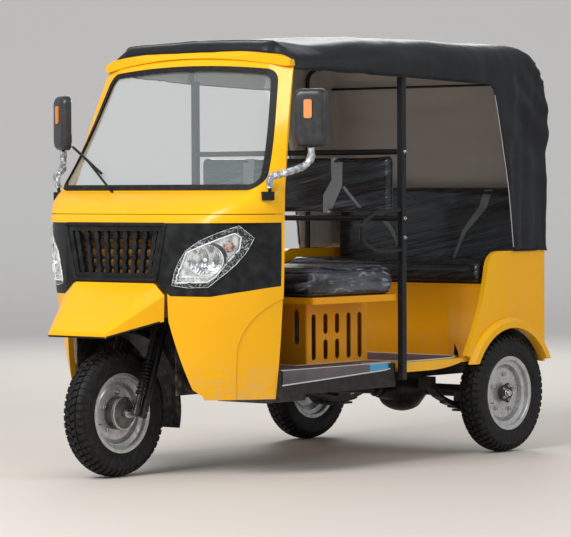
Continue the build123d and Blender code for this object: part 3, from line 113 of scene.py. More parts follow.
# ---------------------------------------------------------------- yellow panels
# The cab's front, the header, the rear body and the passenger floor are pressed steel, welded and
# sprayed in gloss enamel; it is faintly uneven, and streaked and splashed with dust low down
class Wire:
    """A shader socket that takes Python's operators, and adds any other node through one method."""

    def __init__(self, tree, socket):
        self.tree, self.socket = tree, socket

    def node(self, kind, settings=None, sockets=None, output=0):
        """Adds a node with these settings and sockets, each a value or a wire, and gives its output."""
        made = self.tree.nodes.new(kind)
        for key, value in (settings or {}).items():
            setattr(made, key, value)
        for key, value in (sockets or {}).items():
            if isinstance(value, Wire):
                self.tree.links.new(value.socket, made.inputs[key])
            else:
                made.inputs[key].default_value = value
        return Wire(self.tree, made.outputs[output])

    def math(self, operation, first, second=0.0):
        """A Math node's result; the operators below come through here."""
        return self.node("ShaderNodeMath", {"operation": operation}, {0: first, 1: second})

    def __add__(self, other):
        return self.math("ADD", self, other)

    def __sub__(self, other):
        return self.math("SUBTRACT", self, other)

    def __rsub__(self, other):
        return self.math("SUBTRACT", other, self)

    def __mul__(self, other):
        return self.math("MULTIPLY", self, other)

    def __pow__(self, other):
        return self.math("POWER", self, other)

    __radd__, __rmul__ = __add__, __mul__

    def noise(self, scale, detail=2.0, stretch=(1, 1, 1)):
        """Cloudy noise from 0 to 1, with so many lumps to a metre."""
        spread = self.node("ShaderNodeMapping", None, {"Vector": self, "Scale": stretch})
        return self.node("ShaderNodeTexNoise", None, {"Vector": spread, "Scale": scale, "Detail": detail})

    def between(self, low, high):
        """0 below low, 1 above high."""
        return self.node("ShaderNodeMapRange", None, {"Value": self, "From Min": low, "From Max": high})

    def axis(self, letter):
        """One of this vector's parts: X, Y or Z."""
        return self.node("ShaderNodeSeparateXYZ", None, {"Vector": self}, letter)

    def below(self, low, high):
        """1 where this place is lower than low, 0 above high."""
        return 1 - self.axis("Z").between(low, high)

    def bands(self, letter, scale):
        """Soft stripes from 0 to 1, square to X, Y or Z."""
        return self.node("ShaderNodeTexWave", {"bands_direction": letter}, {"Vector": self, "Scale": scale})

    def cells(self, scale):
        """Distance from the middles of scattered cells."""
        return self.node("ShaderNodeTexVoronoi", None, {"Vector": self, "Scale": scale})

    def turned_away(self, blend):
        """0 where the surface faces the eye, 1 at its outline."""
        return self.node("ShaderNodeLayerWeight", None, {"Blend": blend}, "Facing")

    def mix(self, first, second):
        """Two colours, mixed by this wire."""
        return self.node("ShaderNodeMix", {"data_type": "RGBA"}, {0: self, 6: first, 7: second}, 2)

    def into(self, name):
        """Feeds the material's shader."""
        self.tree.links.new(self.socket, self.tree.nodes["Principled BSDF"].inputs[name])

    def bump(self, millimetres):
        """Feeds the shader's normal with a relief so many millimetres deep."""
        relief = {"Height": self, "Distance": millimetres / 1000, "Strength": 1.0}
        self.node("ShaderNodeBump", None, relief).into("Normal")


def finish(name, color, roughness, **constants):
    """A material with these constants on its shader, and the wire that carries the object's coordinates."""
    made = bpy.data.materials.new(name)
    made.use_nodes = True
    made.diffuse_color = (*color, 1)
    shader = made.node_tree.nodes["Principled BSDF"]
    shader.inputs["Base Color"].default_value = (*color, 1)
    shader.inputs["Roughness"].default_value = roughness
    for key, value in constants.items():
        shader.inputs[key.replace("_", " ")].default_value = value
    coordinates = made.node_tree.nodes.new("ShaderNodeTexCoord")
    return made, Wire(made.node_tree, coordinates.outputs["Object"])


def dress(material, *names):
    """Gives CAD nodes a material."""
    for name in names:
        for place in nodes[name].material_slots:
            place.material = material


YELLOW, DEEP_YELLOW, DUST = (0.9, 0.46, 0.003, 1), (0.85, 0.40, 0.002, 1), (0.45, 0.36, 0.25, 1)
enamel, spot = finish(
    "yellow_enamel", YELLOW[:3], 0.3, Specular_IOR_Level=0.24, Coat_Weight=0.12, Coat_Roughness=0.09
)
cloud = spot.noise(1.3, 3.0).between(0.35, 0.7)
streaks = spot.noise(18.0, 4.0, (1, 1, 0.12)).between(0.55, 0.8) * spot.below(0.5, 0.95) * 0.16
splash = spot.noise(26.0, 7.0).between(0.4, 0.72) * spot.below(0.3, 0.52) * 0.5
grime = streaks + splash
grime.mix(cloud.mix(YELLOW, DEEP_YELLOW), DUST).into("Base Color")
(0.24 + spot.noise(9.0, 4.0) * 0.1 + grime * 0.5).into("Roughness")
(spot.noise(260.0, 1.0) * 0.25 + spot.noise(4.0, 2.0) * 5.0).bump(0.14)
PANELS = "beak cowl leg_shields passenger_floor rear_panel rear_sides roof_header windscreen_frame"
dress(enamel, *PANELS.split())

# ---------------------------------------------------------------- seat boxes
# The boxes under both seats are pressed in the same steel; inside the cab their yellow is painted darker and
# more orange, a painted shade standing in for the shade under the roof, and they are scuffed near the floor
# by heels
# Painted shade: this yellow is darker and more orange than the body's enamel
inner, spot = finish("inner_enamel", (0.78, 0.32, 0.003), 0.34, Specular_IOR_Level=0.2, Coat_Weight=0.1)
scuffs = spot.noise(30.0, 6.0).between(0.5, 0.8) * spot.below(0.4, 0.6) * 0.35
scuffs.mix((0.78, 0.32, 0.003, 1), DUST).into("Base Color")
(0.28 + spot.noise(9.0, 4.0) * 0.12 + scuffs * 0.5).into("Roughness")
(spot.noise(260.0, 1.0) * 0.25).bump(0.14)
dress(inner, "seat_base", "seat_box")

# ---------------------------------------------------------------- black mouldings
# Fascia, grille, dashboard and arch liners are moulded in grained black plastic, which greys
# in blotches where it is handled and gathers pale dust near the road
moulding, spot = finish("black_moulding", (0.016, 0.0165, 0.018), 0.5, Specular_IOR_Level=0.16)
wear = spot.noise(22.0, 5.0).between(0.4, 0.75)
dusty = spot.noise(30.0, 6.0).between(0.45, 0.8) * spot.below(0.35, 0.75) * 0.3
dusty.mix(wear.mix((0.009, 0.0095, 0.01, 1), (0.023, 0.024, 0.026, 1)), DUST).into("Base Color")
(0.4 + wear * 0.16 + dusty * 0.5).into("Roughness")
grain = spot.cells(900.0)
(grain + spot.noise(1500.0) * 0.5).bump(0.08)
dress(moulding, *"dashboard fascia front_mudguard grille mirror_shells wheel_tubs wheel_well wiper".split())

# ---------------------------------------------------------------- frame tubes
# Chassis, pillars and steering are steel tube and forgings in satin black enamel, chipped here
# and there down to rust and dusted low down
satin, spot = finish(
    "black_enamel", (0.01, 0.01, 0.011), 0.35, Specular_IOR_Level=0.22, Coat_Weight=0.12, Coat_Roughness=0.2
)
chips = spot.noise(160.0, 6.0).between(0.68, 0.74) * spot.below(0.9, 1.2)
dusty = spot.noise(30.0, 6.0).between(0.4, 0.8) * spot.below(0.25, 0.5) * 0.1
dusty.mix(chips.mix((0.01, 0.01, 0.011, 1), (0.1, 0.065, 0.04, 1)), DUST).into("Base Color")
(0.28 + spot.noise(30.0, 4.0) * 0.15 + dusty * 0.4).into("Roughness")
(spot.noise(500.0) * 0.3 - chips).bump(0.1)
dress(
    satin,
    *"b_pillars chassis_frame driver_floor fork grab_loops handlebar hood_bows leaf_springs".split(),
    *"mirror_arms partition_rails propeller_shaft rear_axle shock_absorbers".split(),
)

# ---------------------------------------------------------------- tyres
# Cross-ply light-truck tyres: a smooth dusty sidewall with two moulded rings, chunky lugs round
# each shoulder and a staggered row of blocks either side of the middle of the tread
WHEEL_R = 0.2675
FRONT_Y, REAR_Y, HALF_TRACK = -1.0, 0.942, 0.577
FRONT = Vector((0, FRONT_Y, WHEEL_R))
REAR_LEFT, REAR_RIGHT = (Vector((x, REAR_Y, WHEEL_R)) for x in (HALF_TRACK, -HALF_TRACK))
# Columns: name, middle, the side that the wheel's nuts are on, how far out they sit, body
WHEELS = (
    ("front", FRONT, 1, 0.008, "front_wheel"),
    ("rear_left", REAR_LEFT, 1, 0.006, "rear_wheel_left"),
    ("rear_right", REAR_RIGHT, -1, 0.006, "rear_wheel_right"),
)


def along(place, direction):
    """A frame at a place, with its Z axis along a direction."""
    return Matrix.Translation(place) @ Vector(direction).to_track_quat("Z", "Y").to_matrix().to_4x4()


def about_z(angle, radius=1.0, height=0.0):
    """A point at an angle about the Z axis."""
    return Vector((radius * math.cos(angle), radius * math.sin(angle), height))


def turned(shape, frame_at, profile, segments=96):
    """Adds a surface turned about the frame's Z axis, from points of radius and height."""
    rows = []
    for k in range(segments):
        a = 2 * math.pi * k / segments
        rows.append([shape.verts.new(frame_at @ about_z(a, r, z)) for r, z in profile])
    joined(shape, rows + rows[:1])


def prism(shape, low, high):
    """Adds a closed block between two loops of as many points."""
    loops = [[shape.verts.new(p) for p in loop] for loop in (low, high)]
    joined(shape, loops, closed=True)
    shape.faces.new(loops[0][::-1])
    shape.faces.new(loops[1])


def fit(name, shape, material, body="chassis", crease=35.0):
    """Makes a smooth-shaded piece of a bmesh, and fixes it to a body."""
    bmesh.ops.remove_doubles(shape, verts=shape.verts, dist=1e-6)
    bmesh.ops.recalc_face_normals(shape, faces=shape.faces)
    made = bpy.data.meshes.new(name)
    shape.to_mesh(made)
    shape.free()
    made.shade_smooth()
    made.set_sharp_from_angle(angle=math.radians(crease))
    made.materials.append(material)
    piece = bpy.data.objects.new(name, made)
    bpy.context.scene.collection.objects.link(piece)
    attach(piece, body)
    return piece


rubber, spot = finish("tyre_rubber", (0.006, 0.006, 0.0065), 0.7, Specular_IOR_Level=0.22)
dusty = spot.noise(60.0, 7.0).between(0.45, 0.8) * 0.16
dusty.mix((0.006, 0.006, 0.0065, 1), (0.16, 0.14, 0.12, 1)).into("Base Color")
(0.55 + dusty).into("Roughness")
(spot.noise(400.0, 3.0) * 0.4 + spot.noise(60.0, 2.0)).bump(0.25)
dress(rubber, "grips", "windscreen_gasket")

LUGS, LUG_STEP, BLOCK_START, BLOCK_LONG = 52, 0.5, 0.25, 0.66


def tread(turn, across, radius):
    """A corner of the tread, at a turn counted in lugs."""
    return axle @ about_z(2 * math.pi * turn / LUGS, radius, across)


# The tyre's section, from its bead to the middle of its tread. Columns: radius, width
SIDE = [
    (0.158, 0.041), (0.168, 0.0425), (0.176, 0.047), (0.186, 0.051), (0.19, 0.0523), (0.1915, 0.0535),
    (0.195, 0.0537), (0.1965, 0.053), (0.206, 0.0545), (0.217, 0.055), (0.228, 0.0542), (0.2295, 0.0549),
    (0.233, 0.0543), (0.2345, 0.0532), (0.242, 0.0515), (0.2495, 0.0455), (0.2555, 0.03), (0.2585, 0.013),
]
# Columns: width across the tyre, radius, and where the lug's two flanks stand
LUG = (
    (0.0275, 0.2545, 0.02, 0.60), (0.0285, 0.2635, 0.05, 0.57), (0.0385, 0.2602, 0.00, 0.62),
    (0.0468, 0.2555, -0.04, 0.64), (0.0528, 0.2465, -0.05, 0.62), (0.0550, 0.2385, -0.02, 0.56),
    (0.0500, 0.2385, -0.02, 0.56), (0.0400, 0.2490, 0.00, 0.60),
)
# Columns: width across the tyre, radius, and the block's leading flank
BLOCK = ((0.0015, 0.25, 0.10), (0.0015, 0.2672, 0.12), (0.0235, 0.2648, -0.14), (0.0235, 0.25, -0.16))
for name, middle, _, _, body in WHEELS:
    shape = bmesh.new()
    axle = along(middle, (1, 0, 0))
    turned(shape, axle, [*SIDE, (0.259, 0), *((r, -x) for r, x in reversed(SIDE)), SIDE[0]], 156)

    for k in range(LUGS):
        for s in (1, -1):
            start = k + (LUG_STEP if s > 0 else 0)
            prism(
                shape,
                [tread(start + flank, s * across, radius) for across, radius, flank, _ in LUG],
                [tread(start + flank, s * across, radius) for across, radius, _, flank in LUG],
            )
            front = [(start + BLOCK_START + flank, s * across, radius) for across, radius, flank in BLOCK]
            prism(
                shape,
                [tread(*corner) for corner in front],
                [tread(turn + BLOCK_LONG, across, radius) for turn, across, radius in front],
            )
    tyre = fit(f"{name}_tread", shape, rubber, body, 28.0)
    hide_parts(f"{name}_tyre")

# ---------------------------------------------------------------- rims and hubs
# Pressed rims in silver paint, gone dull and dusty, bolted by five nuts to cast hubs; the rear
# hubs end in a ring of small bolts and a bright cap, the front one in a machined brake drum
silver, spot = finish("silver_paint", (0.42, 0.41, 0.39), 0.4, Metallic=0.55)
dusty = spot.noise(40.0, 6.0).between(0.4, 0.75) * 0.45
dusty.mix((0.55, 0.55, 0.54, 1), (0.2, 0.17, 0.14, 1)).into("Base Color")
(0.26 + dusty * 0.5).into("Roughness")
(spot.noise(220.0, 4.0) * 0.5).bump(0.2)
dress(silver, "front_rim", "rear_left_rim", "rear_right_rim")

casting, spot = finish("cast_metal", (0.13, 0.125, 0.12), 0.5, Metallic=0.7)
oily = spot.noise(25.0, 5.0).between(0.4, 0.7)
oily.mix((0.16, 0.15, 0.14, 1), (0.05, 0.042, 0.035, 1)).into("Base Color")
(0.55 - oily * 0.2).into("Roughness")
spot.noise(300.0, 4.0).bump(0.3)
dress(casting, "engine", "front_hub", "rear_left_hub", "rear_right_hub")

steel, spot = finish("bright_steel", (0.62, 0.61, 0.59), 0.25, Metallic=1.0)
rust = spot.noise(120.0, 6.0).between(0.52, 0.72) * 0.5
rust.mix((0.62, 0.61, 0.59, 1), (0.22, 0.12, 0.06, 1)).into("Base Color")
(0.2 + rust * 0.6 + spot.noise(400.0) * 0.08).into("Roughness")
spot.noise(600.0, 2.0).bump(0.08)
dress(steel, "exhaust", "front_links")

greasy, spot = finish("greasy_casting", (0.03, 0.027, 0.024), 0.4, Metallic=0.4)
oily = spot.noise(60.0, 5.0).between(0.4, 0.7)
oily.mix((0.035, 0.032, 0.03, 1), (0.014, 0.01, 0.008, 1)).into("Base Color")
spot.noise(250.0, 4.0).bump(0.3)


def nut(shape, frame_at, across, height, stud):
    """Adds a hexagonal nut with a chamfered top, and the stud through it."""
    r = across / math.sqrt(3)
    sides = [(r * 1.16, 0), (r * 1.16, 0.0012), (r, 0.0014), (r, height * 0.86), (r * 0.86, height)]
    turned(shape, frame_at, sides, 6)
    turned(shape, frame_at, [(r * 0.9, height), (stud, height)], 6)
    end = [(stud, height), (stud, height + 0.005), (stud * 0.7, height + 0.0065), (0, height + 0.0065)]
    turned(shape, frame_at, end, 12)


NUTS, NUT_CIRCLE, NUT_ACROSS, NUT_HIGH, STUD_R = 5, 0.086, 0.019, 0.012, 0.0048
VALVE_AT, VALVE_CIRCLE, VALVE_OUT, VALVE_LEAN = math.radians(200), 0.124, 0.014, 0.25
VALVE = ((0, 0), (0.0036, 0), (0.0036, 0.02), (0.0028, 0.028), (0, 0.0285))
DRUM_RING = (
    (0.066, 0.046), (0.0697, 0.0465), (0.0697, 0.0578), (0.0685, 0.0592), (0.0625, 0.0592), (0.061, 0.0582),
)
# The rear hub's flange is a circle drawn out to its bolts. Columns: height, share of its size
FLANGE = ((0.0262, 1.0), (0.0305, 1.0), (0.0325, 0.95))
FLANGE_R, FLANGE_WAVE, BOLTS, BOLT_CIRCLE = 0.0435, 0.0035, 5, 0.033
BOLT_ACROSS, BOLT_HIGH, BOLT_STUD_R = 0.011, 0.006, 0.003
CAP = (
    (0.0175, 0.0325), (0.0175, 0.0345), (0.0142, 0.036), (0.0142, 0.0452), (0.0128, 0.0475), (0.006, 0.0483),
    (0, 0.0483),
)
for name, middle, s, face, body in WHEELS:
    nuts = bmesh.new()
    for k in range(NUTS):
        a = 2 * math.pi * (k + 0.2) / NUTS
        seat = middle + Vector((s * face, NUT_CIRCLE * math.cos(a), NUT_CIRCLE * math.sin(a)))
        nut(nuts, along(seat, (s, 0, 0)), NUT_ACROSS, NUT_HIGH, STUD_R)
    y, z = math.cos(VALVE_AT), math.sin(VALVE_AT)
    foot = middle + Vector((s * VALVE_OUT, VALVE_CIRCLE * y, VALVE_CIRCLE * z))
    turned(nuts, along(foot, (s, -VALVE_LEAN * y, -VALVE_LEAN * z)), VALVE, 12)
    fit(f"{name}_wheel_nuts", nuts, steel, body)
    trim = bmesh.new()
    if name == "front":
        turned(trim, along(middle, (1, 0, 0)), DRUM_RING)
        fit("front_drum_ring", trim, steel, body)
        continue
    axle = along(middle, (s, 0, 0))
    star = bmesh.new()
    loops = []
    for z, grow in FLANGE:
        loops.append([])
        for k in range(80):
            a = 2 * math.pi * k / 80
            r = (FLANGE_R + FLANGE_WAVE * math.cos(BOLTS * a)) * grow
            loops[-1].append(star.verts.new(axle @ about_z(a, r, z)))
    joined(star, loops, closed=True)
    star.faces.new(loops[-1])
    fit(f"{name}_hub_flange", star, greasy, body)
    for k in range(BOLTS):
        seat = axle @ about_z(2 * math.pi * k / BOLTS, BOLT_CIRCLE, FLANGE[-1][0])
        nut(trim, along(seat, (s, 0, 0)), BOLT_ACROSS, BOLT_HIGH, BOLT_STUD_R)
    turned(trim, axle, CAP, 32)
    fit(f"{name}_hub_cap", trim, steel, body)

# ---------------------------------------------------------------- front springs
# A coil spring round a telescopic leg on either side of the front wheel, both in black enamel,
# with the leg's rod and its pressed seats; they stand along the raked steering head
CASTOR = math.radians(20)
STEER_FOOT = Vector((0, -0.945, WHEEL_R))
STEER_AXIS = Vector((0, math.sin(CASTOR), math.cos(CASTOR)))
STEER_BACK = Vector((0, math.cos(CASTOR), -math.sin(CASTOR)))
LEG_X, LEG_AHEAD = 0.1, 0.031
# A leg's section, from its foot up along the steering head. Columns: radius, height
LEG = (
    (0, -0.02), (0.0135, -0.02), (0.015, -0.018), (0.015, 0.03), (0.013, 0.034), (0.013, 0.07),
    (0.0222, 0.072), (0.0228, 0.078), (0.021, 0.0785), (0.012, 0.0785), (0.012, 0.135), (0.0105, 0.137),
    (0.0062, 0.137), (0.0062, 0.2), (0.0125, 0.2), (0.0125, 0.22), (0.0222, 0.221), (0.0228, 0.228),
    (0.014, 0.232), (0.0138, 0.31), (0.0178, 0.312), (0.0178, 0.346), (0.0135, 0.3475), (0, 0.3475),
)
COIL_R, WIRE_R, COIL_TURNS, COIL_LOW, COIL_HIGH = 0.0185, 0.0034, 9, 0.082, 0.216


def swept(shape, line, radius, sides=10, closed=False):
    """Adds a tube of a radius along a line of points; a radius may be given for each."""
    rings, normal = [], None
    for k, point in enumerate(line):
        ahead = line[min(k + 1, len(line) - 1)] if not closed else line[(k + 1) % len(line)]
        behind = line[max(k - 1, 0)] if not closed else line[k - 1]
        way = (ahead - behind).normalized()
        normal = way.orthogonal() if normal is None else normal - normal.dot(way) * way
        normal.normalize()
        across = way.cross(normal)
        r = radius[k] if hasattr(radius, "__len__") else radius
        ring = []
        for i in range(sides):
            a = 2 * math.pi * i / sides
            ring.append(shape.verts.new(point + r * (math.cos(a) * normal + math.sin(a) * across)))
        rings.append(ring)
    joined(shape, rings + (rings[:1] if closed else []), closed=True)
    if not closed:
        shape.faces.new(rings[0][::-1])
        shape.faces.new(rings[-1])


legs, coils = bmesh.new(), bmesh.new()
for s in (1, -1):
    leg = along(STEER_FOOT + Vector((s * LEG_X, 0, 0)) - LEG_AHEAD * STEER_BACK, STEER_AXIS)
    turned(legs, leg, LEG, 40)
    turns = []
    for k in range(COIL_TURNS * 24 + 1):
        share = k / (COIL_TURNS * 24)
        squeeze = COIL_LOW + (COIL_HIGH - COIL_LOW) * share
        if share < 0.08 or share > 0.92:
            squeeze = squeeze * 0.55 + (COIL_LOW if share < 0.5 else COIL_HIGH) * 0.45
        turns.append(leg @ about_z(2 * math.pi * k / 24, COIL_R, squeeze))
    swept(coils, turns, WIRE_R)
fit("front_coil_springs", coils, satin, "steering")
legs_piece = fit("front_spring_legs", legs, satin, "steering")
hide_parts("shock_absorbers")

# ---------------------------------------------------------------- headlamps
# Each lamp is an oval polished bowl and a small amber lamp in one bright reflector, behind a clear
# moulded lens with a pale bezel, and is clipped into the fascia's corner
LENS = (
    (0.322, 0.814), (0.366, 0.938), (0.52, 1.016), (0.536, 1.0), (0.53, 0.95), (0.458, 0.836), (0.432, 0.816),
)


def node_tree(*names):
    """A tree for casting rays at these CAD nodes together."""
    whole = bmesh.new()
    for name in names:
        whole.from_mesh(nodes[name].data)
    return BVHTree.FromBMesh(whole)


def along_outline(corners, step, closed=True):
    """Points spaced along an outline, its corners among them."""
    made = []
    for start, end in zip(corners, (*corners[1:], corners[0]) if closed else corners[1:]):
        start, end = Vector(start), Vector(end)
        count = max(1, round((end - start).length / step))
        made += [start.lerp(end, k / count) for k in range(count)]
    return made if closed else [*made, Vector(corners[-1])]


def diced(shape, step):
    """Cuts a mesh into cells by planes a step apart, square to each axis."""
    for axis in range(3):
        low = min(v.co[axis] for v in shape.verts)
        high = max(v.co[axis] for v in shape.verts)
        normal = Vector((axis == 0, axis == 1, axis == 2))
        for k in range(1, int((high - low) / step)):
            everything = [*shape.verts, *shape.edges, *shape.faces]
            place = normal * (low + k * step)
            bmesh.ops.bisect_plane(shape, geom=everything, plane_co=place, plane_no=normal, dist=1e-5)


def laid(shape, corners, step, project):
    """Adds an outline cut into cells, with each corner of a cell put where project says."""
    flat = bmesh.new()
    flat.faces.new([flat.verts.new((x, 0, z)) for x, z in corners])
    diced(flat, step)
    bmesh.ops.triangulate(flat, faces=flat.faces)
    copies = {v: shape.verts.new(project(v.co.x, v.co.z)) for v in flat.verts}
    for face in flat.faces:
        shape.faces.new([copies[v] for v in face.verts])
    flat.free()


front_face = node_tree("fascia", "headlamp_lens")


def on_front(x, z, lift=0.0):
    """A point on the cab's front at this X and Z, lifted off it."""
    for shift in (0, 0.001, -0.001, 0.002, -0.002):
        hit, normal, _, _ = front_face.ray_cast(Vector((x + shift, -2, z + shift)), Vector((0, 1, 0)))
        if hit is not None:
            return hit + normal * lift


bright, spot = finish("bright_reflector", (0.85, 0.86, 0.85), 0.25, Metallic=0.6)
# Painted reflection: the reflector's colour is mottled between near white and grey
spot.noise(42.0, 4.0).between(0.4, 0.6).mix((0.92, 0.93, 0.92, 1), (0.42, 0.44, 0.46, 1)).into("Base Color")
flutes = spot.bands("X", 22.0)
(flutes * spot.below(0.838, 0.842) * 1.5 + spot.noise(60.0) * 1.0).bump(1.0)
dress(bright, "headlamp_housing")
polished, spot = finish("polished_bowl", (0.8, 0.81, 0.83), 0.14, Metallic=1.0)
glint = spot.noise(30.0, 2.0, (1, 1, 0.7)).between(0.42, 0.58)
glint.mix((0.3, 0.31, 0.34, 1), (0.88, 0.89, 0.9, 1)).into("Base Color")
flutes = spot.bands("X", 34.0)
(flutes * 1.2 + glint * 2.0).bump(1.4)
pale_bezel, spot = finish("pale_bezel", (0.74, 0.77, 0.72), 0.22, Coat_Weight=0.5)
spot.noise(200.0).bump(0.1)
clear, spot = finish("clear_lens", (0.8, 0.83, 0.85), 0.03, IOR=1.5)
facing = spot.turned_away(0.3)
(0.05 + facing**2 * 0.3).into("Alpha")
dress(clear, "headlamp_lens")
amber, spot = finish("amber_lens", (0.7, 0.22, 0.03), 0.15, Coat_Weight=0.5)
ribs = spot.bands("Z", 90.0)
(ribs + spot.noise(200.0)).bump(0.3)
dress(amber, "side_repeaters")
glassy, spot = finish("bulb_glass", (0.75, 0.76, 0.74), 0.1, Coat_Weight=0.6)
spot.noise(300.0).bump(0.05)
smoked, spot = finish("smoked_amber", (0.3, 0.13, 0.08), 0.15, Coat_Weight=0.6)
spot.noise(70.0, 2.0).between(0.4, 0.6).mix((0.07, 0.035, 0.03, 1), (0.5, 0.3, 0.22, 1)).into("Base Color")
spot.noise(200.0).bump(0.3)

BOWL_X, BOWL_Z, BOWL_IN, BOWL_R, BOWL_WIDER, BOWL_DEEP = 0.434, 0.908, 0.01, 0.064, 1.18, 0.034


def bowl_frame(s):
    """A frame on the middle of a side's bowl, facing out of it."""
    return along(on_front(s * BOWL_X, BOWL_Z, -BOWL_IN), (s * 0.62, -0.78, 0))


def reflecting(x, z):
    """A point of this side's reflector, sunk into the bowl where the bowl is."""
    place = on_front(s * x, z, -BOWL_IN)
    flat = inward @ place
    share = math.hypot(flat.x, flat.y) / BOWL_R
    return place + Vector((-s * 0.62, 0.78, 0)) * (BOWL_DEEP * max(0, 1 - share**2) - 0.003 * (share < 1))


BEZEL = ((0.0615, -0.003), (0.0628, 0.0012), (0.0648, 0.002), (0.0656, -0.002))
BULB = ((0.008, -0.036), (0.008, -0.018), (0.0095, -0.014), (0.008, -0.006), (0, -0.002))
AMBER = ((0.024, -0.002), (0.023, 0.001), (0.016, 0.004), (0.006, 0.0056), (0, 0.0058))
INNER_TRIM = ((0.34, 0.838), (0.44, 0.838), (0.456, 0.845))
bowls, bezels, bulbs, ambers, shade_crescents = (bmesh.new() for _ in range(5))
for s in (1, -1):
    stem = bowl_frame(s)
    mouth = stem @ Matrix.Diagonal((BOWL_WIDER, 1, 1, 1))
    inward = mouth.inverted()
    laid(bowls, LENS, 0.0035, reflecting)
    turned(bezels, mouth, BEZEL, 60)
    turned(bulbs, stem, BULB, 24)
    edge = [on_front(s * x, z, 0.0004) for x, z in along_outline(LENS, 0.008)]
    swept(bezels, edge, 0.0032, 8, closed=True)
    inner_edge = [on_front(s * x, z, -0.004) for x, z in along_outline(INNER_TRIM, 0.01, closed=False)]
    swept(bezels, inner_edge, 0.0022, 8)
    turned(ambers, along(on_front(s * 0.508, 0.962, -0.006), (s * 0.75, -0.66, 0)), AMBER, 28)

    # A crescent of black moulding over each bowl, widest at its middle, is painted shade: a dark sheet put in
    # for the shade between the bowl and the bezel
    rows = []
    for k in range(31):
        bend = k / 15 - 1
        a = math.radians(s * (90 - 35) + s * (75 * bend))
        wide = 0.0662 + 0.014 * math.cos(math.pi / 2 * bend) ** 1.5
        pair = [mouth @ Vector((r * math.sin(a), r * math.cos(a), 0.0026)) for r in (0.0652, wide)]
        rows.append([shade_crescents.verts.new(p) for p in pair])
    joined(shade_crescents, rows)
fit("lamp_gaps", shade_crescents, moulding, "chassis", 50.0)
lamp_bowls = fit("lamp_bowls", bowls, bright, "chassis", 25.0)
lamp_bowls.data.materials.append(polished)
for face in lamp_bowls.data.polygons:
    s = math.copysign(1, face.center.x)
    flat = bowl_frame(s).inverted() @ face.center
    face.material_index = int(math.hypot(flat.x / BOWL_WIDER, flat.y) < BOWL_R - 0.0005)
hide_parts("headlamp_housing")
fit("lamp_bezels", bezels, pale_bezel, "chassis", 50.0)
fit("lamp_bulbs", bulbs, glassy, "chassis", 50.0)
fit("lamp_ambers", ambers, smoked, "chassis", 50.0)


# ---------------------------------------------------------------- headlamp film
# Both lamps still wear the clear film that they were packed in. It clings to the lens, where it
# isn't seen, and past the lens's edge it stands up crumpled; thin whitish lines on its crests are a painted
# highlight
def step_up(value, low, high):
    """0 below low, 1 above high, and smooth between."""
    share = min(max((value - low) / (high - low), 0), 1)
    return share * share * (3 - 2 * share)


FILM = (
    (0.309, 0.804), (0.32, 0.856), (0.34, 0.905), (0.363, 0.944), (0.411, 0.985), (0.47, 1.018),
    (0.531, 1.048), (0.548, 1.024), (0.566, 0.997), (0.556, 0.965), (0.544, 0.933), (0.52, 0.89),
    (0.492, 0.855), (0.436, 0.797), (0.37, 0.794),
)
FILM_MIDDLE, FILM_OFF, FILM_ROUGH = Vector((0.445, 0.915)), 0.0035, 0.003
film, spot = finish("clear_film", (0.8, 0.83, 0.87), 0.12, Coat_Weight=1.0, Coat_Roughness=0.05)
crumple = spot.noise(60.0, 5.0)
facing = spot.turned_away(0.35)
# Painted highlight: the film turns more opaque and whitish along thin lines on its crumples' crests
glint_ridge = (1 - ((crumple * 2 - 1) ** 2) * 300).between(0.0, 1.0)
(0.03 + glint_ridge * 0.45 + facing**3 * 0.3).into("Alpha")
crumple.bump(6.0)
# Painted highlight: the film's rims are drawn as whitish, partly opaque lines along its edge
film_edge, spot = finish("film_edge", (0.85, 0.88, 0.88), 0.15, Coat_Weight=1.0)
(0.25 + spot.noise(45.0, 4.0).between(0.4, 0.6) * 0.6).into("Alpha")


def filmed(x, z):
    """A point of this side's film, which is rougher and stands further off towards its edge."""
    rough = noise.noise(Vector((x * 90, z * 90, s))) + 0.5 * noise.noise(Vector((x * 260, z * 260, s)))
    out = step_up((Vector((x, z)) - FILM_MIDDLE).length, 0.06, 0.13)
    return on_front(s * x, z, FILM_OFF + FILM_ROUGH * rough * (0.3 + out) + FILM_ROUGH * out)


films, film_rims = bmesh.new(), bmesh.new()
for s in (1, -1):
    laid(films, FILM, 0.009, filmed)
    rim_line = [filmed(x, z) for x, z in along_outline(FILM, 0.006)]
    girth = [0.0009 + 0.0006 * abs(noise.noise(p * 130)) for p in rim_line]
    swept(film_rims, rim_line, girth, 6, closed=True)
film_folds = fit("film_rims", film_rims, film_edge, "chassis", 180.0)
lamp_film = fit("lamp_film", films, film, "chassis", 180.0)
shown = bmesh.new()
shown.from_mesh(lamp_film.data)
within = []
for face in shown.faces:
    middle = face.calc_center_median()
    spot_on = Vector((abs(middle.x), middle.z))
    sides = [(Vector(a), Vector(b) - Vector(a)) for a, b in zip(LENS, (*LENS[1:], LENS[0]))]
    if all(side.cross(spot_on - a) < -0.006 * side.length for a, side in sides):
        within.append(face)
bmesh.ops.delete(shown, geom=within, context="FACES")
shown.to_mesh(lamp_film.data)

# ---------------------------------------------------------------- cowl seam
# The cowl is two pressings, and a thin black strip lies in the seam between them all the
# way round the cab's front
strip, spot = finish("seam_rubber", (0.008, 0.008, 0.008), 0.7)
spot.noise(300.0).bump(0.2)
SEAM_MIDDLE, SEAM_R = Vector((0, -0.55, 1.0965)), 0.0021
cowl_tree = node_tree("cowl")
seam, seam_run = bmesh.new(), []
for k in range(141):
    way = about_z(math.radians(-168 + 156 * k / 140))
    hit, _, _, _ = cowl_tree.ray_cast(SEAM_MIDDLE + way * 2, -way)
    if hit is not None:
        seam_run.append(hit + way * 0.0008)
swept(seam, seam_run, SEAM_R, 8)
fit("cowl_seam_strip", seam, strip, "chassis", 60.0)

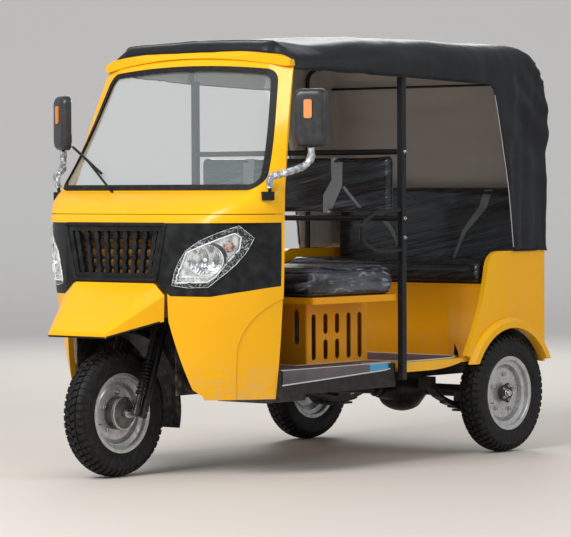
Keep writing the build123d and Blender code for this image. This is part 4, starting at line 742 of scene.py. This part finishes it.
# ---------------------------------------------------------------- bulkhead
# The steel panel behind the grille, ahead of the driver's feet, is welded in; its colour is a dark amber,
# blotched darker still, a painted shade standing in for the shade behind the grille
# Painted shade: the dark amber colour and its darker blotches stand in for the shade behind the grille
shaded_bulkhead, spot = finish("amber_primer", (0.4, 0.17, 0.012), 0.6)
shade_blotches = spot.noise(16.0, 5.0).between(0.35, 0.7)
shade_blotches.mix((0.42, 0.18, 0.012, 1), (0.12, 0.06, 0.02, 1)).into("Base Color")
spot.noise(80.0, 4.0).bump(0.3)
dress(shaded_bulkhead, "bulkhead")

# ---------------------------------------------------------------- mirror arms
# Bent tube arms on moulded brackets at the foot of each screen pillar; each arm is still wrapped
# in silvery bubble film, wound on loosely and crumpled
wrap, spot = finish(
    "bubble_film", (0.55, 0.57, 0.6), 0.22, Metallic=0.35, Coat_Weight=0.8, Coat_Roughness=0.08,
)
bubbles = spot.cells(150.0)
crumple = spot.noise(45.0, 6.0)
# Painted shade and highlight: the film's colour is dark grey in the crumples' hollows and pale on their
# crests
crumple.between(0.4, 0.65).mix((0.2, 0.21, 0.23, 1), (0.66, 0.68, 0.7, 1)).into("Base Color")
(crumple * 6.0 - bubbles * 1.5).bump(1.5)
ARM = (
    (0.606, -0.706, 1.206), (0.616, -0.709, 1.246), (0.65, -0.67, 1.262), (0.69, -0.6, 1.288),
    (0.712, -0.569, 1.322), (0.713, -0.568, 1.368),
)
wraps = bmesh.new()
for s in (1, -1):
    line, corners = [], [Vector((s * x, y, z)) for x, y, z in ARM]
    padded = [corners[0], *corners, corners[-1]]
    for before, start, end, after in zip(padded, padded[1:], padded[2:], padded[3:]):
        for i in range(12):
            t = i / 12
            line.append(
                0.5 * (
                    2 * start + (end - before) * t + (2 * before - 5 * start + 4 * end - after) * t**2
                    + (3 * start - before - 3 * end + after) * t**3
                )
            )
    line.append(corners[-1])
    girth = [0.0155 + 0.0035 * noise.noise(p * 38) + 0.002 * noise.noise(p * 110) for p in line]
    swept(wraps, line, girth, 28)
for v in wraps.verts:
    crumples = ((70, Vector()), (70, Vector((9, 0, 0))), (60, Vector((0, 5, 0))))
    v.co += Vector([noise.noise(v.co * scale + shift) for scale, shift in crumples]) * 0.004
fit("mirror_arm_wraps", wraps, wrap, "chassis", 40.0)

# ---------------------------------------------------------------- floor mats
# Ribbed grey rubber mats with a pale bound edge lie loose on both floors; the driver's is turned
# down over the floor's edge, and its rear corner still wears a scrap of blue film
mat, spot = finish("grey_mat", (0.085, 0.075, 0.08), 0.6)
ribs = spot.bands("Y", 60.0)
spot.noise(9.0, 5.0).between(0.3, 0.7).mix((0.07, 0.062, 0.066, 1), (0.13, 0.105, 0.11, 1)).into("Base Color")
(ribs + spot.noise(200.0) * 0.3).bump(0.8)
binding, spot = finish("pale_binding", (0.55, 0.53, 0.52), 0.5)
spot.noise(500.0).bump(0.2)
blue, spot = finish("blue_film", (0.03, 0.28, 0.5), 0.2, Coat_Weight=0.8)
spot.noise(60.0, 4.0).bump(2.0)
FLOOR_TOP, MAT_THICK, EDGE_R = 0.4405, 0.0035, 0.0034
# The driver's mat on the left side, and the left half of the rear mat. Columns: X, Y
DRIVER_MAT = (
    (0.31, -0.6), (0.583, -0.6), (0.583, 0.08), (0.579, 0.113), (0.567, 0.138), (0.55, 0.153),
    (0.403, 0.158), (0.403, -0.3), (0.31, -0.3),
)
REAR_MAT = (
    (0.585, 0.215), (0.589, 0.3), (0.588, 0.42), (0.58, 0.52), (0.562, 0.6), (0.53, 0.66), (0.49, 0.69),
)
mats, edges, corners = bmesh.new(), bmesh.new(), bmesh.new()
driver_right, rear_right = ([(-x, y) for x, y in half[::-1]] for half in (DRIVER_MAT, REAR_MAT))
for outline in (DRIVER_MAT, driver_right, (rear_right[-1], *REAR_MAT, *rear_right[:-1])):
    low = [Vector((x, y, FLOOR_TOP)) for x, y in outline]
    prism(mats, low, [p + Vector((0, 0, MAT_THICK)) for p in low])
    line = [Vector((p.x, p.y, FLOOR_TOP + 0.0028)) for p in along_outline(outline, 0.02)]
    swept(edges, line, EDGE_R, 8, closed=True)
# Where the driver's mat is turned down. Columns: X, Y, and the flap's lower edge
FLAP = (
    (0.5885, -0.61, 0.383), (0.5885, -0.35, 0.394), (0.5885, -0.05, 0.408), (0.5885, 0.07, 0.413),
    (0.584, 0.112, 0.418), (0.57, 0.142, 0.424), (0.548, 0.157, 0.43),
)
flaps = bmesh.new()
for s in (1, -1):
    path = along_outline(FLAP, 0.02, closed=False)
    plain, filmy = [p for p in path if p.y < -0.02], [p for p in path if p.y > -0.045]
    for shape, run in ((flaps, plain), (corners, filmy)):
        rows = []
        for p in run:
            hem = Vector((p.x, p.y, 0))
            out = (hem - Vector((0.5, 0.05 if p.y > 0.05 else p.y, 0))).normalized()
            places = (
                (hem - out * 0.1, 0.4452), (hem - out * 0.006, 0.4452), (hem, 0.4425),
                (hem + out * 0.002, 0.437), (hem + out * 0.0022, (0.437 + p.z) / 2),
                (hem + out * 0.0018, p.z),
            )
            rows.append([shape.verts.new((s * q.x, q.y, z)) for q, z in places])
        joined(shape, rows)
    swept(edges, [Vector((s * (p.x + 0.002), p.y, p.z)) for p in path], 0.003, 8)
fit("mat_flaps", flaps, mat, "chassis", 60.0)
fit("floor_mats", mats, mat, "chassis", 30.0)
fit("mat_edges", edges, binding, "chassis", 60.0)
fit("mat_corner_film", corners, blue, "chassis", 60.0)

# ---------------------------------------------------------------- pillar bolts
# Steel bolts go through each pillar from outside, and hold the rails behind the driver and the
# grab loop
PILLAR_X, PILLAR_Y, PILLAR_BOLTS_Z = 0.6148, 0.183, (1.357, 1.068, 0.985)
PILLAR_BOLT_ACROSS, PILLAR_BOLT_HIGH, PILLAR_STUD_R = 0.013, 0.006, 0.0035
bolts = bmesh.new()
for s in (1, -1):
    for z in PILLAR_BOLTS_Z:
        seat = along((s * PILLAR_X, PILLAR_Y, z), (s, 0, 0))
        nut(bolts, seat, PILLAR_BOLT_ACROSS, PILLAR_BOLT_HIGH, PILLAR_STUD_R)
fit("pillar_bolts", bolts, steel, "chassis")

# ---------------------------------------------------------------- grille surround
# A rolled moulding of the fascia's black plastic frames the grille, and four thin rungs tie its bars
# together from behind
SURROUND_R, RUNG_R, RUNG_Y, RUNG_BOW = 0.0085, 0.0075, -0.968, 0.012
# Columns: a rung's height, and its reach to either side
RUNGS = ((0.873, 0.225), (0.915, 0.235), (0.957, 0.244), (0.999, 0.253))
SURROUND = ((0.226, 0.824), (0.281, 1.054), (-0.281, 1.054), (-0.226, 0.824))
surround = bmesh.new()
outline = along_outline(SURROUND, 0.012)
moulded = [on_front(x * 1.012, z, 0.002) + Vector((0, 0.002, 0)) for x, z in outline]
swept(surround, moulded, SURROUND_R, 12, closed=True)
for height, reach in RUNGS:
    across = [k / 12 - 1 for k in range(25)]
    swept(surround, [Vector((reach * t, RUNG_Y + RUNG_BOW * t**2, height)) for t in across], RUNG_R, 8)
fit("grille_surround", surround, moulding, "chassis", 60.0)

# ---------------------------------------------------------------- mirror heads
# Crowned black mouldings, smoother than the fascia, clamped to the arms and turned in towards the
# driver, with an amber repeater let into their fronts
head_shade, spot = finish("mirror_moulding", (0.02, 0.02, 0.021), 0.38, Specular_IOR_Level=0.5)
worn = spot.noise(30.0, 4.0).between(0.4, 0.75)
worn.mix((0.018, 0.018, 0.019, 1), (0.035, 0.035, 0.036, 1)).into("Base Color")
spot.noise(1200.0).bump(0.06)
TOE = math.radians(27)
HEAD_MIDDLE, HEAD_HALF_W, HEAD_HALF_H, HEAD_CORNER = Vector((0.715, -0.572, 1.492)), 0.073, 0.121, 0.036
# Loops of the head from its glass to its front. Columns: depth, inset
HEAD_LOOPS = (
    (-0.0185, 0.0005), (-0.014, -0.0), (-0.004, 0.0008), (0.006, 0.003), (0.013, 0.0065), (0.018, 0.011),
    (0.0212, 0.017), (0.0226, 0.0235), (0.0229, 0.03),
)
heads = bmesh.new()
for s in (1, -1):
    loops = []
    for depth, inset in HEAD_LOOPS:
        half_w, half_h, r = HEAD_HALF_W - inset, HEAD_HALF_H - inset, HEAD_CORNER - inset * 0.4
        ring = []
        for k in range(64):
            a = 2 * math.pi * (k + 0.5) / 64
            x = math.copysign(half_w - r, math.cos(a)) + r * math.cos(a)
            z = math.copysign(half_h - r, math.sin(a)) + r * math.sin(a)
            place = HEAD_MIDDLE + about_z(TOE) * x
            place += Vector((math.sin(TOE), -math.cos(TOE), 0)) * depth + Vector((0, 0, z))
            ring.append(heads.verts.new((s * place.x, place.y, place.z)))
        loops.append(ring)
    joined(heads, loops, closed=True)
    heads.faces.new(loops[-1])
    heads.faces.new(loops[0][::-1])
mirror_heads = fit("mirror_heads", heads, head_shade, "chassis", 50.0)
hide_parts("mirror_shells")

# ---------------------------------------------------------------- beak edging
# The beak's lower edge is bound with a strip of black rubber, pushed on from below and held by its
# own grip
BEAK_HALF, EDGING_R = 0.272, 0.0042
beak_low, beak_high = (Vector(c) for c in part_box("beak"))
beak_tree = node_tree("beak")
under = []
for k in range(49):
    x, found = BEAK_HALF * (k / 24 - 1), None
    for step in range(160):
        z = beak_high.z - (beak_high.z - beak_low.z) * step / 159
        found = beak_tree.ray_cast(Vector((x, beak_low.y - 0.5, z)), Vector((0, 1, 0)))[0] or found
    under.append(found + Vector((0, 0.001, 0.0015)))
edging = bmesh.new()
swept(edging, under, EDGING_R, 10)
fit("beak_edging", edging, rubber, "chassis", 70.0)


# ---------------------------------------------------------------- hood
# One sheet of black coated canvas with a grey cloth lining, stretched over the tube bows to the
# header and the rear body; it creases between its fixings, and its edges are hemmed and piped
def settled(piece):
    """Replaces a piece's mesh by what its modifiers make of it."""
    graph = bpy.context.evaluated_depsgraph_get()
    made = bpy.data.meshes.new_from_object(piece.evaluated_get(graph))
    piece.modifiers.clear()
    piece.data = made


def edge_runs(shape):
    """The open edges of a mesh, as runs of corners, the shortest first."""
    left = dict.fromkeys(edge for edge in shape.edges if edge.is_boundary)
    runs = []
    while left:
        edge = next(iter(left))
        del left[edge]
        run = list(edge.verts)
        for _ in range(2):
            while True:
                after = next((e for e in run[-1].link_edges if e in left), None)
                if after is None:
                    break
                del left[after]
                run.append(after.other_vert(run[-1]))
            run.reverse()
        runs.append(run)
    return sorted(runs, key=len)


# Only the solid's outer skin is kept, then cut into cells and cleared of slits and loose islands
SKIN, CELL, MERGE, SLIT_EDGES = 0.02, 0.026, 0.005, 30
sheet = bmesh.new()
sheet.from_mesh(nodes["hood"].data)
bmesh.ops.remove_doubles(sheet, verts=sheet.verts, dist=1e-5)
tree = BVHTree.FromBMesh(sheet)
unseen = []
for face in sheet.faces:
    centre = face.calc_center_median()
    through = tree.ray_cast(centre - face.normal * 1e-4, -face.normal)
    inward = face.normal.dot(centre - Vector((0, 0.3, 1.2))) < 0
    if inward or through[0] is None or through[3] > SKIN:
        unseen.append(face)
bmesh.ops.delete(sheet, geom=unseen, context="FACES")
diced(sheet, CELL)
bmesh.ops.triangulate(sheet, faces=sheet.faces)
bmesh.ops.remove_doubles(sheet, verts=sheet.verts, dist=MERGE)
bmesh.ops.holes_fill(sheet, edges=[e for e in sheet.edges if e.is_boundary], sides=20)
bmesh.ops.triangulate(sheet, faces=sheet.faces)
near_slits = {v for run in edge_runs(sheet) if len(run) < SLIT_EDGES for v in run}
slits = [e for e in sheet.edges if e.is_boundary and near_slits.intersection(e.verts)]
bmesh.ops.collapse(sheet, edges=slits)
main, grown = set(), [max(sheet.faces, key=lambda f: f.calc_area()).verts[0]]
while grown:
    v = grown.pop()
    if v not in main:
        main.add(v)
        grown += [edge.other_vert(v) for edge in v.link_edges]
bmesh.ops.delete(sheet, geom=[v for v in sheet.verts if v not in main], context="VERTS")
free = [v for v in sheet.verts if not v.is_boundary]
for _ in range(7):
    bmesh.ops.smooth_vert(sheet, verts=free, factor=0.5, use_axis_x=True, use_axis_y=True, use_axis_z=True)
sheet.normal_update()
# It sags between the bows, hangs in folds at the back and sides, and is drawn in at the corners
BOWS_Y = (-0.55, 0.03, 0.46, 1.03)
SAG, HUNG, DRAWN, PULL, CORNER = 0.007, 0.02, 0.022, 0.02, 2.985
moves = []
for v in sheet.verts:
    x, y, z = v.co
    side = step_up(abs(x), 0.5, 0.6)
    rear = step_up(y, 0.5, 0.75)
    roof = step_up(z, 1.74, 1.8)
    hung = noise.noise(Vector((x * 2, y * 11 + z * 1.5, z * 0.9)))
    hung += 0.5 * noise.noise(Vector((x * 4, y * 26, z * 1.6 + 7)))
    pull = noise.noise(Vector((x * 3, y * 5 + abs(x) * 9, z * 9)))
    pull *= noise.noise(Vector((x * 1.3, y * 2, z * 2 + 3)))
    drawn = noise.noise(Vector((x * 2, y * 9 + z * 12, 5))) * step_up(y, 0.8, 1.1) * step_up(z, 1.1, 1.4)
    depth = (HUNG * hung + DRAWN * drawn) * rear * step_up(1.85 - z, 0, 0.3) + PULL * pull * (0.35 + side)
    corner = 0.42 * max(0.0, y + z - CORNER)
    valance = side * (1 - rear) * (1 - roof)
    depth += 0.004 * valance * noise.noise(Vector((x, y * 7, z * 3 + 20)))
    for low, high in zip(BOWS_Y, BOWS_Y[1:]):
        if low < y < high:
            depth -= SAG * roof * math.sin(math.pi * (y - low) / (high - low)) ** 2
    lift = 0.016 * step_up(-y, 0.25, 0.42) * roof
    ahead = step_up(-y, 0.2, 0.43)
    tuck = -0.045 * math.copysign(step_up(abs(x), 0.35, 0.52), x) * step_up(z, 1.745, 1.8) * ahead
    moves.append(Vector((tuck, -corner, -corner)) + v.normal * depth + Vector((0, 0, lift)))
for v, move in zip(sheet.verts, moves):
    v.co += move * (0.3 if v.is_boundary and v.co.y > -0.43 else 1.0)
runs = [[v.co.copy() for v in run] for run in edge_runs(sheet)]

canvas, spot = finish(
    "coated_canvas", (0.006, 0.0063, 0.008), 0.55, Specular_IOR_Level=0.17, Coat_Weight=0.22,
    Coat_Roughness=0.4,
)
across = spot.bands("Z", 300.0)
lengthwise = spot.bands("Y", 300.0)
faded = spot.noise(3.0, 5.0).between(0.4, 0.7)
faded.mix((0.006, 0.0063, 0.008, 1), (0.012, 0.0125, 0.016, 1)).into("Base Color")
(across * lengthwise * 0.12 + spot.noise(13.0, 5.0, (1, 1, 0.5)) * 5.0).bump(1.0)
(0.36 + spot.noise(10.0, 3.0) * 0.2).into("Roughness")
lining, spot = finish("grey_lining", (0.5, 0.45, 0.41), 0.8)
weave = spot.bands("Z", 420.0)
spot.noise(4.0, 4.0).mix((0.47, 0.43, 0.39, 1), (0.53, 0.49, 0.45, 1)).into("Base Color")
(weave * 0.1 + spot.noise(8.0, 4.0) * 3.0).bump(1.0)
hood = fit("hood_canvas", sheet, canvas, "chassis", 70.0)
hood.data.materials.append(lining)
thick = hood.modifiers.new("cloth", "SOLIDIFY")
thick.thickness, thick.offset, thick.material_offset, thick.material_offset_rim = 0.0022, -1, 1, 0
settled(hood)
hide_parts("hood")

# The sheet is turned down in front, over the header, in a strip of its own
header = node_tree("roof_header")
brow_line = sorted((p for run in runs for p in run if p.y < -0.44 and abs(p.x) < 0.53), key=lambda p: p.x)
brow = bmesh.new()
rows = []
for p in brow_line:
    x, back = p.x, -0.5 + 0.036 * step_up(abs(p.x), 0.4, 0.45)
    foot = header.ray_cast(Vector((x, back, 2.0)), Vector((0, 0, -1)))[0]
    foot = Vector((x, back, p.z - 0.03)) if foot is None else foot + Vector((0, 0, 0.003))
    rows.append([])
    belly = 1 - step_up(abs(x), 0.38, 0.45)
    for k in range(7):
        t = k / 6
        place = p.lerp(foot, t) + Vector((0, -0.012, 0.006)) * math.sin(math.pi * t) * belly
        place += Vector((0, 1, 1)) * 0.002 * noise.noise(Vector((x * 14, t * 2, 3)))
        rows[-1].append(brow.verts.new(place))
joined(brow, rows)
brow_piece = fit("hood_brow", brow, canvas, "chassis", 70.0)
thick = brow_piece.modifiers.new("cloth", "SOLIDIFY")
thick.thickness, thick.offset = 0.002, 0
settled(brow_piece)

# The tube that the sheet is laced to across the back of the roof
RAIL_X, RAIL_Y, RAIL_Z, RAIL_R = (-0.605, -0.58, -0.3, 0, 0.3, 0.58, 0.605), 1.186, 1.676, 0.006
rail = bmesh.new()
swept(rail, [Vector((x, RAIL_Y - 0.006 * (abs(x) > 0.57), RAIL_Z)) for x in RAIL_X], RAIL_R, 12)
fit("hood_rear_rail", rail, satin, "chassis", 60.0)

# Its edges are turned under and stitched into a hem
HEM_R = 0.003
hem = bmesh.new()
for run in runs:
    if len(run) > SLIT_EDGES:
        swept(hem, run, HEM_R, 6)
hem_piece = fit("hood_hem", hem, canvas, "chassis", 70.0)

# The rear corner's edge is bound in a pale piping, from the body's top to below the roof
piping, spot = finish("pale_piping", (0.4, 0.39, 0.37), 0.5)
(spot.noise(900.0) * 0.3).bump(0.2)
trim = bmesh.new()
for s in (1, -1):
    edge = [p for run in runs for p in run if s * p.x > 0.55 and 0.81 < p.y < 0.98 and 0.92 < p.z < 1.62]
    edge.sort(key=lambda p: p.z)
    if len(edge) > 3:
        swept(trim, [p + Vector((s * 0.003, -0.004, 0)) for p in edge], 0.0022, 6)
fit("hood_piping", trim, piping, "chassis", 70.0)


# ---------------------------------------------------------------- seats
# Foam pads in black synthetic leather, blown full over the foam and drawn in at their piped seams;
# all of them still wear the clear film that they were packed in, which wrinkles. Its shine is painted into
# the cover's colour as hazy bluish bands and pale bluish streaks on the wrinkles' crests, a painted highlight
# that is strongest towards the front
VOXEL, MOST_SWELL, PUFF_FRAMES = 0.014, 0.011, 16
PAD_CORNER, PIPING_R, PIPING_LIFT = 0.25, 0.0035, 0.0012


def pad(name):
    """A seat's pad: its solid remeshed, swollen as cloth with a limit on how far, and smoothed."""
    piece = bpy.data.objects.new(f"{name}_pad", nodes[name].data.copy())
    bpy.context.scene.collection.objects.link(piece)
    grid = piece.modifiers.new("grid", "REMESH")
    grid.mode, grid.voxel_size = "VOXEL", VOXEL
    settled(piece)
    soft = bmesh.new()
    soft.from_mesh(piece.data)
    for _ in range(3):
        bmesh.ops.smooth_vert(
            soft, verts=soft.verts, factor=0.5, use_axis_x=True, use_axis_y=True, use_axis_z=True,
        )
    soft.to_mesh(piece.data)
    soft.free()
    rest = [v.co.copy() for v in piece.data.vertices]
    cloth = piece.modifiers.new("cover", "CLOTH")
    cloth.settings.use_pressure = True
    cloth.settings.uniform_pressure_force = 4
    cloth.settings.quality = 4
    cloth.settings.effector_weights.gravity = 0
    cloth.collision_settings.use_collision = False
    cloth.point_cache.frame_end = PUFF_FRAMES
    for frame_number in range(1, PUFF_FRAMES + 1):
        bpy.context.scene.frame_set(frame_number)
    settled(piece)
    bpy.context.scene.frame_set(1)
    low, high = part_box(name)
    for v, start in zip(piece.data.vertices, rest):
        move = v.co - start
        if move.length > MOST_SWELL:
            move *= MOST_SWELL / move.length
        wrinkle = noise.noise(Vector((start.x * 5, start.y * 6, start.z * 4))) * noise.noise(start * 11)
        move += Vector((0, 0, 0.004)) * wrinkle
        place = start + move
        v.co = [min(max(place[i], low[i] - 0.002), high[i] + 0.006) for i in range(3)]
    smooth = piece.modifiers.new("smooth", "SUBSURF")
    smooth.levels = smooth.render_levels = 1
    settled(piece)
    piece.data.shade_smooth()
    piece.data.materials.clear()
    piece.data.materials.append(hide)
    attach(piece, "chassis")
    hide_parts(name)
    return piece


def cover_tree(piece):
    """A tree for casting rays at a pad's cover."""
    cover = piece.data
    return BVHTree.FromPolygons([v.co for v in cover.vertices], [p.vertices for p in cover.polygons])


def round_edge(piece, height):
    """A line round a pad at a height, on its surface, from rays cast inward."""
    tree = cover_tree(piece)
    low, high = (Vector(c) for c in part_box(piece.name.replace("_pad", "")))
    middle, half = (low + high) / 2, (high - low) / 2
    line = []
    for k in range(160):
        way = about_z(2 * math.pi * (k + 0.5) / 160)
        reach = min(half.x / max(abs(way.x), 1e-6), half.y / max(abs(way.y), 1e-6))
        start = Vector((middle.x, middle.y, height)) + way * (reach + 0.05)
        inward = -way
        if reach >= PAD_CORNER:
            inner = reach - PAD_CORNER
            target = Vector((middle.x + way.x * inner, middle.y + way.y * inner, height))
            inward = (target - start).normalized()
        hit, normal, _, _ = tree.ray_cast(start, inward)
        if hit is not None:
            line.append(hit + normal * PIPING_LIFT)
    return line


hide, spot = finish(
    "seat_cover", (0.008, 0.008, 0.009), 0.32, Specular_IOR_Level=0.35, Coat_Weight=0.5,
    Coat_Roughness=0.12,
)
fold = spot.noise(5.0, 5.0, (0.7, 1, 1.6))
slant = spot.node("ShaderNodeMapping", None, {"Vector": spot, "Rotation": (0, math.radians(10), 0)})
crinkle = slant.noise(24.0, 3.0, (0.07, 0.26, 1.4))
glint_ridge = (1 - ((crinkle * 2 - 1) ** 2) * 130).between(0.0, 1.0)
wrapped = 1 - spot.axis("Y").between(0.14, 0.16) * 0.75 - spot.axis("Y").between(0.6, 0.7) * 0.17
patchy = slant.noise(6.0, 3.0, (0.4, 1, 1.2)).between(0.46, 0.64)
# Painted highlight: hazy bands and streaks on the crests lighten the cover towards pale blue, most on the
# driver's seat and less further back
hazy_sheen = slant.noise(20.0, 4.0, (0.06, 0.22, 1.3)).between(0.42, 0.64) * wrapped
cover = hazy_sheen.mix((0.006, 0.006, 0.007, 1), (0.075, 0.082, 0.105, 1))
(glint_ridge * patchy * wrapped * 0.6).mix(cover, (0.5, 0.55, 0.66, 1)).into("Base Color")
(0.3 - glint_ridge * 0.12).into("Roughness")
(fold * 9.0 + crinkle * 7.0).bump(2.2)
PADS = ("driver_seat", "bench_cushion", "bench_backrest", "driver_backrest")
pads = [pad(name) for name in PADS]
welt, spot = finish("black_piping", (0.01, 0.01, 0.011), 0.35, Coat_Weight=0.4)
spot.noise(300.0).bump(0.1)
seams = bmesh.new()
for piece in pads[:2]:
    low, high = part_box(piece.name[:-4])
    for height in (high[2] - 0.016, low[2] + 0.012):
        swept(seams, round_edge(piece, height), PIPING_R, 8, closed=True)
fit("seat_piping", seams, welt, "chassis", 70.0)

# ---------------------------------------------------------------- seat inserts
# Jagged pieces of grey synthetic leather, sewn into the covers of the driver's back panel and the
# bench's back. Columns: the pad, and the outline on its front in X and Z
TALL_JAG = (
    (0.222, 1.333), (0.289, 1.332), (0.288, 1.21), (0.237, 1.121), (0.21, 1.092), (0.175, 1.092),
    (0.179, 1.17), (0.227, 1.236),
)
SHORT_JAG = ((0.288, 1.202), (0.301, 1.209), (0.399, 1.112), (0.399, 1.096))
LONG_JAG = (
    (0.32, 1.188), (0.366, 1.188), (0.343, 1.104), (0.224, 0.992), (0.16, 0.872), (0.146, 0.872),
    (0.203, 1.001), (0.3, 1.113),
)
INSERTS = (
    ("driver_backrest", TALL_JAG), ("driver_backrest", SHORT_JAG), ("bench_backrest", LONG_JAG),
)
grey, spot = finish("grey_insert", (0.17, 0.175, 0.18), 0.4, Coat_Weight=0.5)
(spot.noise(500.0) + spot.noise(30.0, 5.0) * 3.0).bump(0.6)
inserts = bmesh.new()


def on_cover(x, z):
    """A point on the front of this pad's cover, on this side."""
    hit, normal, _, _ = tree.ray_cast(Vector((s * x, start_y, z)), Vector((0, 1, 0)))
    return Vector((s * x, start_y + 0.3, z)) if hit is None else hit + normal * 0.0012


for name, outline in INSERTS:
    tree = cover_tree(bpy.data.objects[f"{name}_pad"])
    start_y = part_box(name)[0][1] - 0.3
    for s in (1, -1):
        laid(inserts, outline, 0.02, on_cover)
fit("seat_inserts", inserts, grey, "chassis", 180.0)

# ---------------------------------------------------------------- windscreen, tail lamps and mirrors
# Flat toughened glass held in the gasket's channel, red moulded lenses on the tail lamps, and
# silvered glass clipped into the mirror heads
pane, spot = finish("windscreen_glass", (0.55, 0.62, 0.62), 0.02, IOR=1.5)
facing = spot.turned_away(0.25)
(0.1 + facing**2 * 0.5).into("Alpha")
dress(pane, "windscreen_glass")
red, spot = finish("red_lens", (0.5, 0.01, 0.008), 0.15, Coat_Weight=0.5)
spot.noise(200.0).bump(0.1)
dress(red, "tail_lamps")
silvered, spot = finish("mirror_glass", (0.9, 0.9, 0.9), 0.02, Metallic=1.0)
(0.015 + spot.noise(40.0) * 0.02).into("Roughness")
dress(silvered, "mirror_glasses")

# ---------------------------------------------------------------- floor paint
# The floor and the wall that it turns up into are painted a warm white, which is painted paler with
# distance from the vehicle: a painted light that makes up for the lamps' light falling off far away
pale, spot = finish("pale_floor", (0.62, 0.56, 0.5), 0.7)
# Painted light: the colour grows paler with distance from the vehicle
far_painted_light = (spot.axis("Y") * math.cos(HEADING) - spot.axis("X") * math.sin(HEADING)).between(3.0, 20.0)
far_painted_light.mix((0.62, 0.56, 0.5, 1), (0.93, 0.88, 0.83, 1)).into("Base Color")
floor_mesh.materials.append(pale)
